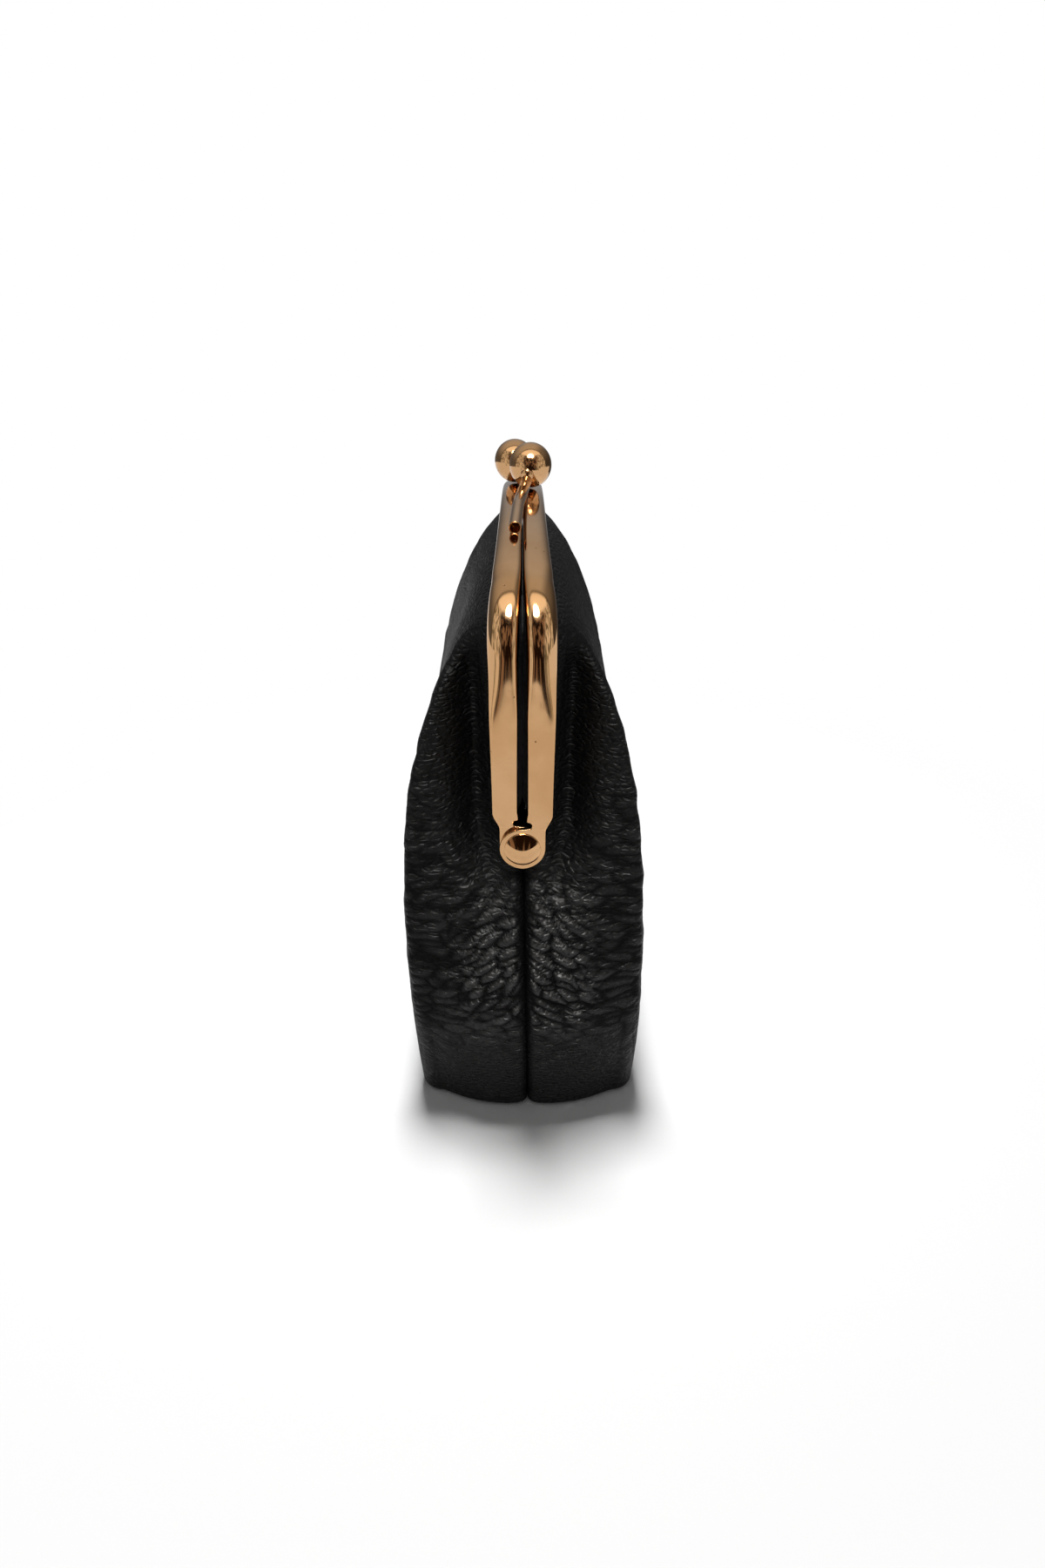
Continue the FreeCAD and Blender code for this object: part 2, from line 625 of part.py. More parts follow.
def main():
    """Build every piece and write it out."""
    os.makedirs("parts", exist_ok=True)
    origin = V(0, 0, 0)
    leather_half = LEATHER_THICKNESS / 2
    lining_out = -leather_half - LAYER_GAP
    lining_floor = LEATHER_THICKNESS + 2 * LAYER_GAP + BOARD_THICKNESS
    nodes = {}
    nodes["back_frame"] = make_bow(False)
    nodes["front_frame"] = make_bow(True).mirror(origin, ACROSS)
    nodes["right_hinge_rivet"] = make_rivet()
    nodes["left_hinge_rivet"] = make_rivet().mirror(origin, ALONG)
    nodes["front_clasp_arm"] = make_clasp_arm()
    nodes["front_clasp_ball"] = make_clasp_ball()
    for name in ("clasp_arm", "clasp_ball"):
        turned = nodes["front_" + name].copy()
        turned.rotate(origin, UP, 180)
        nodes["back_" + name] = turned
    nodes["front_leather_panel"] = make_panel(leather_half, -leather_half, 0.0, LEATHER_THICKNESS)
    nodes["front_lining_panel"] = make_panel(
        lining_out, lining_out - LINING_THICKNESS, lining_floor, lining_floor + LINING_THICKNESS
    )
    nodes["front_paper_cord"] = make_cord()
    for name in ("leather_panel", "lining_panel", "paper_cord"):
        nodes["back_" + name] = nodes["front_" + name].mirror(origin, ACROSS)
    nodes["base_board"] = make_board()
    for name, shape in nodes.items():
        box = shape.BoundBox
        print("%-20s valid %s solids %d faces %d volume %.1f box %.1f..%.1f %.1f..%.1f %.1f..%.1f" % (
            name, shape.isValid(), len(shape.Solids), len(shape.Faces), shape.Volume,
            box.XMin, box.XMax, box.YMin, box.YMax, box.ZMin, box.ZMax))
        shape.exportStep("parts/%s.step" % name)


main()
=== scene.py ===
"""Looks of the kiss lock frame purse: polished bows, crossing clasp and pebbled pouch in a plain studio.

The shape classes work in millimetres in the part's own frame, and make_piece turns them into metres.
"""
import logging
import math
from dataclasses import dataclass
from enum import Enum
from typing import Optional, Sequence, Union

import bpy
import numpy as np
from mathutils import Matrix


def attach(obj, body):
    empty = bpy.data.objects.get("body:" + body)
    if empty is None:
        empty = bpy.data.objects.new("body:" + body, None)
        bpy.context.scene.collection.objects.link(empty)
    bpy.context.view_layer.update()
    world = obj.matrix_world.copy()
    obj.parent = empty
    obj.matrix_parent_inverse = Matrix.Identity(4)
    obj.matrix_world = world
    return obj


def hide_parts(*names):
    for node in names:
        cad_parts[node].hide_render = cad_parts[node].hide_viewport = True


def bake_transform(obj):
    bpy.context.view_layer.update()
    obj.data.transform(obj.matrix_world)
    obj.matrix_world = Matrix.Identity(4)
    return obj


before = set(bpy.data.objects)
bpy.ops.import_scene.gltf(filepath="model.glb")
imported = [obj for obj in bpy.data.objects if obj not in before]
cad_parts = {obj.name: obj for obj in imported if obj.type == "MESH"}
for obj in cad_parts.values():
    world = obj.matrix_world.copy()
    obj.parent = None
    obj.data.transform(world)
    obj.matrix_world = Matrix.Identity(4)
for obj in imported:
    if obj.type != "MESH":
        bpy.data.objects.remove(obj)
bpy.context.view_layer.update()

Array = np.ndarray
Object = bpy.types.Object
Material = bpy.types.Material
Node = bpy.types.Node
Socket = bpy.types.NodeSocket
Source = Union[float, Sequence[float], Socket]
Inputs = dict[Union[str, int], Source]

MM = 0.001
log = logging.getLogger("purse")


class Side(Enum):
    """The two halves of the purse, by the sign of Y on which they lie."""

    FRONT = -1
    BACK = 1

    @property
    def label(self) -> str:
        """Word that starts the names of this half's pieces."""
        return self.name.lower()

    @property
    def bow(self) -> str:
        """Body that carries this half's bow."""
        return self.label + "_bow"


class End(Enum):
    """The two ends of the purse, by the sign of X on which they lie."""

    LEFT = -1
    RIGHT = 1


# Plain curves


def smoothstep(x: Array) -> Array:
    """Ease from 0 to 1 with level ends: 3x^2 - 2x^3, with x held between 0 and 1."""
    x = np.clip(x, 0.0, 1.0)
    return x * x * (3.0 - 2.0 * x)


def eased(x: Array, span: tuple[float, float]) -> Array:
    """Smoothstep of x over a span of (start, length)."""
    return smoothstep((x - span[0]) / span[1])


def mix(a: Array, b: Array, share: Array) -> Array:
    """Straight blend a + (b - a) share."""
    return a + (b - a) * share


def keyed(keys: Sequence[float], values: Sequence[float], t: Array) -> Array:
    """Cubic Hermite curve through keyed numbers, its slopes the differences of each key's two neighbours.

    Args:
        keys: rising places of the known numbers.
        values: the number at each key.
        t: places to work out.

    Returns:
        The curve's number at each place.
    """
    k = np.asarray(keys)
    v = np.asarray(values)
    lower = np.maximum(np.arange(len(k)) - 1, 0)
    upper = np.minimum(np.arange(len(k)) + 1, len(k) - 1)
    slope = (v[upper] - v[lower]) / (k[upper] - k[lower])
    i = np.clip(np.searchsorted(k, t) - 1, 0, len(k) - 2)
    step = k[i + 1] - k[i]
    s = (t - k[i]) / step
    start = (1 + 2 * s) * (1 - s) ** 2 * v[i] + s * (1 - s) ** 2 * step * slope[i]
    end = s * s * (3 - 2 * s) * v[i + 1] + s * s * (s - 1) * step * slope[i + 1]
    return start + end


def unit(vectors: Array) -> Array:
    """Vectors over their own lengths."""
    return vectors / np.maximum(np.linalg.norm(vectors, axis=-1, keepdims=True), 1e-12)


def spread(density: Array, places: Array, count: int) -> Array:
    """Places whose spacing goes as one over a density: its running sum is cut into equal shares.

    Args:
        density: wanted points per length at each place.
        places: rising places.
        count: how many places to give.

    Returns:
        Rising places from the first to the last.
    """
    steps = (density[1:] + density[:-1]) / 2 * np.diff(places)
    total = np.concatenate([[0.0], np.cumsum(steps)])
    return np.interp(np.linspace(0, total[-1], count), total, places)


def cubic(points: Sequence[Array], s: Array) -> Array:
    """Cubic Bezier of four points, p0 r^3 + 3 p1 r^2 s + 3 p2 r s^2 + p3 s^3, with r = 1 - s.

    Args:
        points: the four points, each an array of columns by one by three.
        s: places along the curve, from 0 to 1.

    Returns:
        Columns by places by three coordinates.
    """
    first, second, third, last = points
    s = s[None, :, None]
    r = 1 - s
    return first * r ** 3 + second * 3 * r * r * s + third * 3 * r * s * s + last * s ** 3


# Fields of cells and soft noise over points in space


def scatter(i: Array, j: Array, k: Array, seed: int) -> Array:
    """Even random number from 0 to 1 for each whole-number cell: its indices times large primes, mixed.

    Args:
        i: the cells' numbers along X.
        j: along Y.
        k: along Z.
        seed: picks the pattern.

    Returns:
        One number for each cell.
    """
    h = (i * 73856093) ^ (j * 19349663) ^ (k * 83492791) ^ (seed * 2654435761)
    h = (h ^ (h >> 13)) * 1274126177 & 0xFFFFFFFF
    h = (h ^ (h >> 16)) * 2246822519 & 0xFFFFFFFF
    return ((h ^ (h >> 15)) & 0xFFFFFF) / float(0x1000000)


def soft_noise(points: Array, seed: int) -> Array:
    """Value noise from -1 to 1: random numbers at whole-number corners, blended by smoothstep.

    Args:
        points: places in cell lengths.
        seed: picks the pattern.

    Returns:
        The noise at each place.
    """
    cell = np.floor(points).astype(np.int64)
    f = smoothstep(points - cell)
    total = np.zeros(points.shape[:-1])
    for corner in range(8):
        dx, dy, dz = corner & 1, corner >> 1 & 1, corner >> 2 & 1
        weight = np.abs(1 - dx - f[..., 0]) * np.abs(1 - dy - f[..., 1]) * np.abs(1 - dz - f[..., 2])
        total += weight * scatter(cell[..., 0] + dx, cell[..., 1] + dy, cell[..., 2] + dz, seed)
    return total * 2 - 1


def pebbles(points: Array, seed: int) -> Array:
    """Domed cells from 0 in their creases to 1 on top.

    One random point lies in each unit cell. The nearest two are at distances F1 and F2, and with
    g = (F2 - F1) / 0.7, held at 1, the height is the quarter circle sqrt(g (2 - g)).

    Args:
        points: places in cell lengths.
        seed: picks the pattern.

    Returns:
        Height at each place.
    """
    cell = np.floor(points).astype(np.int64)
    first = np.full(points.shape[:-1], 9.0)
    second = first.copy()
    for n in range(27):
        near = [cell[..., a] + (n // 3 ** a % 3 - 1) for a in range(3)]
        seat = np.stack([near[a] + scatter(*near, seed + a) for a in range(3)], axis=-1)
        gap = np.linalg.norm(seat - points, axis=-1)
        second = np.minimum(second, np.maximum(first, gap))
        first = np.minimum(first, gap)
    g = np.clip((second - first) / 0.7, 0, 1)
    return np.sqrt(g * (2 - g))


# Meshes


def grid_faces(rows: int, columns: int, closed: bool) -> Array:
    """Four-sided faces between neighbours on a grid of points.

    Args:
        rows: number of rows.
        columns: points in a row.
        closed: join the last column to the first.

    Returns:
        One row of four point numbers for each face.
    """
    index = np.arange(rows * columns).reshape(rows, columns)
    if closed:
        index = np.hstack([index, index[:, :1]])
    sides = (index[:-1, :-1], index[:-1, 1:], index[1:, 1:], index[1:, :-1])
    return np.stack(sides, axis=-1).reshape(-1, 4)


def faces_outwards(points: Array, faces: Array, middle: Array) -> bool:
    """True if the cones from a middle point to the faces add up to a positive volume.

    Args:
        points: the mesh's points.
        faces: four point numbers for each face.
        middle: the point inside.

    Returns:
        Whether the faces look away from it.
    """
    p = points - middle
    a, b, c, d = (p[faces[:, n]] for n in range(4))
    return float((a * np.cross(b, c)).sum() + (a * np.cross(c, d)).sum()) > 0


def make_piece(
    name: str,
    grid: Array,
    material: Material,
    closed: bool = False,
    capped: bool = False,
    middle: Sequence[float] = (0.0, 0.0, 50.0),
    marks: Optional[dict[str, Array]] = None,
    uv: Optional[Array] = None,
) -> Object:
    """Smooth mesh object from a grid of points in millimetres.

    Args:
        name: the piece's name.
        grid: rows by columns by three coordinates.
        material: its finish.
        closed: whether each row is a closed ring.
        capped: whether the first and last rings are closed by a flat face.
        middle: a point inside the shape, from which its faces look outwards.
        marks: numbers for each point, kept as named attributes.
        uv: rows by columns by two map coordinates, for an open grid.

    Returns:
        The object, at the origin and linked to the scene.
    """
    rows, columns = grid.shape[:2]
    points = grid.reshape(-1, 3)
    faces = grid_faces(rows, columns, closed)
    flip = not faces_outwards(points, faces, np.asarray(middle))
    if flip:
        faces = faces[:, ::-1]
    polygons = faces.tolist()
    if capped:
        first = list(range(columns))
        last = list(range((rows - 1) * columns, rows * columns))
        polygons += [first, last[::-1]] if flip else [first[::-1], last]
    mesh = bpy.data.meshes.new(name)
    mesh.from_pydata((points * MM).tolist(), [], polygons)
    mesh.shade_smooth()
    for key, numbers in (marks or {}).items():
        attribute = mesh.attributes.new(key, "FLOAT", "POINT")
        attribute.data.foreach_set("value", numbers.astype(np.float32).ravel())
    if uv is not None:
        layer = mesh.uv_layers.new(name="cloth")
        layer.data.foreach_set("uv", uv.reshape(-1, 2)[faces.ravel()].astype(np.float32).ravel())
    mesh.materials.append(material)
    piece = bpy.data.objects.new(name, mesh)
    bpy.context.scene.collection.objects.link(piece)
    return piece


def ring_rows(path: Array, radius: Array) -> Array:
    """Round rings carried along a path that never runs along Y.

    Each ring lies across the path's own direction, measured from its neighbours, at
    path + radius (cos a * side + sin a * over), with over = direction x Y and side = over x direction.

    Args:
        path: the middle of each ring.
        radius: rings by angles, the radius at each.

    Returns:
        Rings by points by three coordinates.
    """
    direction = unit(np.gradient(path, axis=0))
    over = unit(np.cross(direction, np.array([0.0, 1.0, 0.0])))
    side = np.cross(over, direction)
    angle = np.arange(radius.shape[1]) / radius.shape[1] * 2 * math.pi
    ring = np.cos(angle)[:, None] * side[:, None] + np.sin(angle)[:, None] * over[:, None]
    return path[:, None] + radius[..., None] * ring


def lathe(profile: Array, origin: Array, axis: Array, count: int) -> Array:
    """Profile of (radius, height) turned about an axis.

    Args:
        profile: radius and height of each ring.
        origin: where height is 0.
        axis: direction of the axis.
        count: points in a ring.

    Returns:
        Rings by points by three coordinates.
    """
    axis = unit(np.asarray(axis, float))
    side = unit(np.cross(axis, np.array([0.13, 0.94, 0.31])))
    over = np.cross(axis, side)
    angle = np.arange(count) / count * 2 * math.pi
    ring = np.cos(angle)[:, None] * side + np.sin(angle)[:, None] * over
    return origin + profile[:, 0, None, None] * ring + profile[:, 1, None, None] * axis


# Finishes


class Sheet:
    """A node tree with short ways to add and join nodes."""

    def __init__(self, tree: bpy.types.NodeTree) -> None:
        """Keep the tree that is filled."""
        self.tree = tree

    def feed(self, node: Node, inputs: Inputs) -> None:
        """Set or join a node's inputs.

        Args:
            node: the node.
            inputs: for each input's name or number, a plain value or the socket that feeds it.
        """
        for key, value in inputs.items():
            if isinstance(value, Socket):
                self.tree.links.new(value, node.inputs[key])
            else:
                node.inputs[key].default_value = value

    def add(self, kind: str, inputs: Optional[Inputs] = None, **settings: object) -> Node:
        """Add a node.

        Args:
            kind: Blender's name of the node.
            inputs: what feed is given.
            settings: the node's own properties.

        Returns:
            The node.
        """
        node = self.tree.nodes.new(kind)
        for key, value in settings.items():
            setattr(node, key, value)
        self.feed(node, inputs or {})
        return node

    def math(self, operation: str, a: Source, b: Source = 0.0, clamp: bool = False) -> Socket:
        """Socket with the result of an operation on two numbers or sockets."""
        return self.add("ShaderNodeMath", {0: a, 1: b}, operation=operation, use_clamp=clamp).outputs[0]

    def ramp(
        self, value: Source, low: float, high: float, to_low: float = 0.0, to_high: float = 1.0
    ) -> Socket:
        """Socket with a number eased from one range to another."""
        inputs = {"Value": value, "From Min": low, "From Max": high, "To Min": to_low, "To Max": to_high}
        return self.add("ShaderNodeMapRange", inputs, interpolation_type="SMOOTHSTEP").outputs[0]

    def noise(self, vector: Socket, scale: Source, detail: float = 2.0, roughness: float = 0.5) -> Socket:
        """Socket with soft noise from 0 to 1 at some features for each metre."""
        inputs = {"Vector": vector, "Scale": scale, "Detail": detail, "Roughness": roughness}
        return self.add("ShaderNodeTexNoise", inputs).outputs[0]

    def blend(self, share: Source, a: Source, b: Source) -> Socket:
        """Socket with a blend of two colours."""
        return self.add("ShaderNodeMix", {0: share, 6: a, 7: b}, data_type="RGBA").outputs[2]

    def bump(self, height: Socket, distance: float, strength: float) -> Socket:
        """Socket with the normal of a surface that a height raises."""
        inputs = {"Height": height, "Distance": distance, "Strength": strength}
        return self.add("ShaderNodeBump", inputs).outputs[0]

    def glow(self, tone: Source, strength: Source) -> None:
        """End the sheet in a plain glow."""
        light = self.add("ShaderNodeEmission", {"Color": tone, "Strength": strength})
        self.add("ShaderNodeOutputMaterial", {"Surface": light.outputs[0]})


def blank_material(name: str) -> tuple[Material, Sheet, Socket]:
    """New material with no shader yet.

    Args:
        name: the material's name.

    Returns:
        The material, its sheet and the Object coordinate.
    """
    material = bpy.data.materials.new(name)
    material.use_nodes = True
    material.node_tree.nodes.clear()
    sheet = Sheet(material.node_tree)
    return material, sheet, sheet.add("ShaderNodeTexCoord").outputs["Object"]


def colour(red: float, green: float, blue: float) -> tuple[float, float, float, float]:
    """Opaque colour from linear parts."""
    return (red, green, blue, 1.0)


def new_group(name: str, inputs: dict[str, float], outputs: Sequence[str]) -> tuple[Sheet, dict, dict]:
    """Empty node group with number sockets and an Object coordinate.

    Args:
        name: the group's name.
        inputs: each input's name and first value.
        outputs: names of the outputs.

    Returns:
        The group's sheet, its input sockets by name, and its output sockets by name.
    """
    tree = bpy.data.node_groups.new(name, "ShaderNodeTree")
    tree.interface.new_socket("Place", in_out="INPUT", socket_type="NodeSocketVector")
    for key, value in inputs.items():
        tree.interface.new_socket(key, in_out="INPUT", socket_type="NodeSocketFloat").default_value = value
    for key in outputs:
        tree.interface.new_socket(key, in_out="OUTPUT", socket_type="NodeSocketFloat")
    sheet = Sheet(tree)
    source = sheet.add("NodeGroupInput")
    sink = sheet.add("NodeGroupOutput")
    return sheet, {s.name: s for s in source.outputs}, {s.name: s for s in sink.inputs}


class Effects:
    """Node groups that several finishes share."""

    def __init__(self) -> None:
        """Build each group once."""
        self.handling = self._handling()
        self.fibres = self._fibres()

    @staticmethod
    def _handling() -> bpy.types.NodeTree:
        """Marks of use: broad smudges, sparse dark specks and fine short scratches, each from 0 to 1.

        Returns:
            The node group.
        """
        inputs = {"Smudge Size": 60.0, "Speck Size": 900.0, "Speck Share": 0.08}
        sheet, given, out = new_group("handling marks", inputs, ("Smudge", "Speck", "Scratch"))
        smudge = sheet.noise(given["Place"], given["Smudge Size"], 4.0, 0.6)
        sheet.tree.links.new(sheet.ramp(smudge, 0.35, 0.7), out["Smudge"])
        cells = {"Vector": given["Place"], "Scale": given["Speck Size"]}
        speck = sheet.add("ShaderNodeTexVoronoi", cells, feature="F1")
        patch = sheet.noise(given["Place"], 140.0, 2.0)
        limit = sheet.math("MULTIPLY", sheet.ramp(patch, 0.52, 0.7), given["Speck Share"])
        small = sheet.math("SUBTRACT", limit, speck.outputs["Distance"])
        sheet.tree.links.new(sheet.ramp(small, 0.0, 0.05), out["Speck"])
        stretch = sheet.add("ShaderNodeMapping", {"Vector": given["Place"], "Scale": (1.0, 1.0, 0.06)})
        line = sheet.noise(stretch.outputs[0], 4200.0, 1.0)
        where = sheet.noise(given["Place"], 220.0, 1.0)
        thin = sheet.math("MULTIPLY", sheet.ramp(line, 0.68, 0.8), sheet.ramp(where, 0.5, 0.66))
        sheet.tree.links.new(thin, out["Scratch"])
        return sheet.tree

    @staticmethod
    def _fibres() -> bpy.types.NodeTree:
        """Pressed or spun fibres: soft mottling and fine stretched threads, each from 0 to 1.

        Returns:
            The node group.
        """
        inputs = {"Mottle Size": 300.0, "Thread Size": 3000.0}
        sheet, given, out = new_group("paper fibres", inputs, ("Mottle", "Thread"))
        mottle = sheet.noise(given["Place"], given["Mottle Size"], 5.0, 0.65)
        sheet.tree.links.new(sheet.ramp(mottle, 0.3, 0.7), out["Mottle"])
        stretch = sheet.add("ShaderNodeMapping", {"Vector": given["Place"], "Scale": (0.15, 1.0, 1.0)})
        thread = sheet.noise(stretch.outputs[0], given["Thread Size"], 2.0)
        sheet.tree.links.new(sheet.ramp(thread, 0.45, 0.75), out["Thread"])
        return sheet.tree


class Finish:
    """What every finish does: start a material with one shader."""

    name: str

    def start(self) -> tuple[Material, Sheet, Node, Socket]:
        """New material with a Principled shader.

        Returns:
            The material, its sheet, the shader and the Object coordinate.
        """
        material, sheet, place = blank_material(self.name)
        shader = sheet.add("ShaderNodeBsdfPrincipled")
        sheet.add("ShaderNodeOutputMaterial", {"Surface": shader.outputs[0]})
        return material, sheet, shader, place


@dataclass(frozen=True)
class GoldPlate(Finish):
    """Mirror-polished rose gold plate with smudges, tiny pits and hairline scratches."""

    name: str = "rose_gold_plate"
    tone: tuple = colour(0.590, 0.355, 0.180)
    deep_tone: tuple = colour(0.515, 0.293, 0.136)
    pit_tone: tuple = colour(0.120, 0.060, 0.028)
    polish: float = 0.045
    worn: float = 0.13
    scratch_rough: float = 0.12
    pit_rough: float = 0.3
    smudge_size: float = 70.0
    pit_size: float = 900.0
    pit_share: float = 0.16
    ripple_size: float = 95.0
    ripple: float = 0.00003

    def material(self, effects: Effects) -> Material:
        """Node material of the plate.

        Args:
            effects: the shared node groups.

        Returns:
            The material.
        """
        material, sheet, shader, place = self.start()
        sizes = {"Smudge Size": self.smudge_size, "Speck Size": self.pit_size, "Speck Share": self.pit_share}
        marks = sheet.add("ShaderNodeGroup", node_tree=effects.handling)
        sheet.feed(marks, {"Place": place, **sizes})
        smudge, pit, scratch = (marks.outputs[key] for key in ("Smudge", "Speck", "Scratch"))
        base = sheet.blend(pit, sheet.blend(smudge, self.tone, self.deep_tone), self.pit_tone)
        rough = sheet.ramp(smudge, 0.0, 1.0, self.polish, self.worn)
        rough = sheet.math("ADD", rough, sheet.math("MULTIPLY", scratch, self.scratch_rough))
        rough = sheet.math("ADD", rough, sheet.math("MULTIPLY", pit, self.pit_rough))
        wave = sheet.noise(place, self.ripple_size, 1.0)
        hollow = sheet.math("SUBTRACT", wave, sheet.math("MULTIPLY", pit, 1.2))
        normal = sheet.bump(hollow, self.ripple, 0.6)
        sheet.feed(shader, {"Base Color": base, "Roughness": rough, "Normal": normal, "Metallic": 1.0})
        return material


@dataclass(frozen=True)
class PebbledLeather(Finish):
    """Black full-grain leather: satin pebble tops, matt creases darkened with painted shade, and fine pores.
    """

    name: str = "black_pebbled_leather"
    top_tone: tuple = colour(0.0050, 0.0050, 0.0052)
    # Darker tone for the creases: painted crease shade, not the leather's own colour.
    crease_shade_tone: tuple = colour(0.0015, 0.0015, 0.0015)
    top_rough: float = 0.46
    crease_rough: float = 0.75
    smudge_size: float = 45.0
    grain_stretch: tuple = (0.62, 0.62, 1.25)
    grain_size: float = 980.0
    grain_bend: float = 0.0009
    pore_size: float = 4200.0
    pore_depth: float = 0.00022
    shine: float = 0.065
    coat_rough: float = 0.42
    coat_ior: float = 1.65

    def material(self, effects: Effects) -> Material:
        """Node material of the leather.

        The attribute pebble is 0 in a crease and 1 on top, and darkens the base colour in the creases as
        painted shade; rubbed says where handling shines it.

        Args:
            effects: the shared node groups.

        Returns:
            The material.
        """
        material, sheet, shader, place = self.start()
        pebble = sheet.add("ShaderNodeAttribute", attribute_name="pebble").outputs["Fac"]
        marks = sheet.add("ShaderNodeGroup", node_tree=effects.handling)
        sheet.feed(marks, {"Place": place, "Smudge Size": self.smudge_size})
        smudge = marks.outputs["Smudge"]
        # Base colour goes from the top tone to a darker one in the creases: painted crease shade.
        base = sheet.blend(pebble, self.crease_shade_tone, self.top_tone)
        rough = sheet.ramp(pebble, 0.1, 0.9, self.crease_rough, self.top_rough)
        rough = sheet.math("ADD", rough, sheet.math("MULTIPLY", smudge, 0.1))
        level = sheet.add("ShaderNodeMapping", {"Vector": place, "Scale": self.grain_stretch}).outputs[0]
        shift = sheet.add("ShaderNodeTexNoise", {"Vector": place, "Scale": 420.0, "Detail": 2.0}).outputs[1]
        bent = sheet.add("ShaderNodeVectorMath", {0: shift, "Scale": self.grain_bend}, operation="SCALE")
        bent = sheet.add("ShaderNodeVectorMath", {0: bent.outputs[0], 1: level}, operation="ADD").outputs[0]
        cells = {"Vector": bent, "Scale": self.grain_size}
        grain = sheet.add("ShaderNodeTexVoronoi", cells, feature="DISTANCE_TO_EDGE").outputs["Distance"]
        dome = sheet.add("ShaderNodeTexVoronoi", cells, feature="F1").outputs["Distance"]
        pores = sheet.noise(place, self.pore_size, 2.0)
        height = sheet.math("SUBTRACT", sheet.ramp(grain, 0.0, 0.3), sheet.math("MULTIPLY", dome, 0.5))
        height = sheet.math("ADD", height, sheet.math("MULTIPLY", pores, 0.25))
        normal = sheet.bump(height, self.pore_depth, 0.7)
        rubbed = sheet.add("ShaderNodeAttribute", attribute_name="rubbed").outputs["Fac"]
        worn = sheet.math("MULTIPLY", rubbed, sheet.ramp(smudge, 0.0, 1.0, 1.0, 0.7))
        sheet.feed(shader, {"Base Color": base, "Roughness": rough, "Normal": normal})
        sheet.feed(shader, {"Specular IOR Level": self.shine, "Coat Weight": worn, "Coat Normal": normal})
        sheet.feed(shader, {"Coat Roughness": self.coat_rough, "Coat IOR": self.coat_ior})
        return material


@dataclass(frozen=True)
class LiningCloth(Finish):
    """Charcoal plain-weave cotton that follows the piece's own map."""

    name: str = "charcoal_lining_cloth"
    yarn_tone: tuple = colour(0.018, 0.017, 0.018)
    # Darker tone between the yarns: painted shade in the weave's dips.
    weave_shade_tone: tuple = colour(0.004, 0.004, 0.004)
    yarn: float = 0.00032
    weave_depth: float = 0.0001
    sheen: float = 0.15

    def material(self, effects: Effects) -> Material:
        """Node material of the cloth: warp and weft are crossed rows of half waves, one over the other, and
        the low places between the yarns take a darker colour as painted shade.

        Args:
            effects: the shared node groups.

        Returns:
            The material.
        """
        material, sheet, shader, place = self.start()
        cloth = sheet.add("ShaderNodeUVMap", uv_map="cloth").outputs[0]
        parts = sheet.add("ShaderNodeSeparateXYZ", {0: cloth})
        turns = [sheet.math("MULTIPLY", parts.outputs[n], math.pi / self.yarn) for n in (0, 1)]
        warp, weft = (sheet.math("ABSOLUTE", sheet.math("SINE", turn)) for turn in turns)
        half_turns = (sheet.math("COSINE", sheet.math("MULTIPLY", turn, 0.5)) for turn in turns)
        over = sheet.ramp(sheet.math("MULTIPLY", *half_turns), -0.2, 0.2)
        under = sheet.math("SUBTRACT", 1.0, over)
        height = sheet.math("ADD", sheet.math("MULTIPLY", warp, over), sheet.math("MULTIPLY", weft, under))
        fibres = sheet.add("ShaderNodeGroup", node_tree=effects.fibres)
        sheet.feed(fibres, {"Place": place, "Mottle Size": 160.0, "Thread Size": 2500.0})
        light = sheet.math("MULTIPLY", height, sheet.ramp(fibres.outputs["Mottle"], 0.0, 1.0, 0.7, 1.0))
        # Colour darkens with the weave's height: painted shade between the yarns.
        base = sheet.blend(light, self.weave_shade_tone, self.yarn_tone)
        normal = sheet.bump(height, self.weave_depth, 0.6)
        rough = sheet.ramp(fibres.outputs["Thread"], 0.0, 1.0, 0.82, 0.95)
        sheet.feed(shader, {"Base Color": base, "Roughness": rough, "Normal": normal})
        sheet.feed(shader, {"Sheen Weight": self.sheen})
        return material


@dataclass(frozen=True)
class PressedFibre(Finish):
    """Kraft paper or grey board: mottled fibres with a dull surface."""

    name: str = "kraft_paper"
    tone: tuple = colour(0.470, 0.340, 0.180)
    dark_tone: tuple = colour(0.300, 0.205, 0.100)
    mottle_size: float = 600.0
    thread_size: float = 4000.0
    thread_depth: float = 0.00005

    def material(self, effects: Effects) -> Material:
        """Node material of the fibres.

        Args:
            effects: the shared node groups.

        Returns:
            The material.
        """
        material, sheet, shader, place = self.start()
        fibres = sheet.add("ShaderNodeGroup", node_tree=effects.fibres)
        sizes = {"Mottle Size": self.mottle_size, "Thread Size": self.thread_size}
        sheet.feed(fibres, {"Place": place, **sizes})
        mottle, thread = fibres.outputs["Mottle"], fibres.outputs["Thread"]
        base = sheet.blend(mottle, self.tone, self.dark_tone)
        normal = sheet.bump(thread, self.thread_depth, 0.5)
        rough = sheet.ramp(mottle, 0.0, 1.0, 0.78, 0.92)
        sheet.feed(shader, {"Base Color": base, "Roughness": rough, "Normal": normal})
        return material


# Shapes


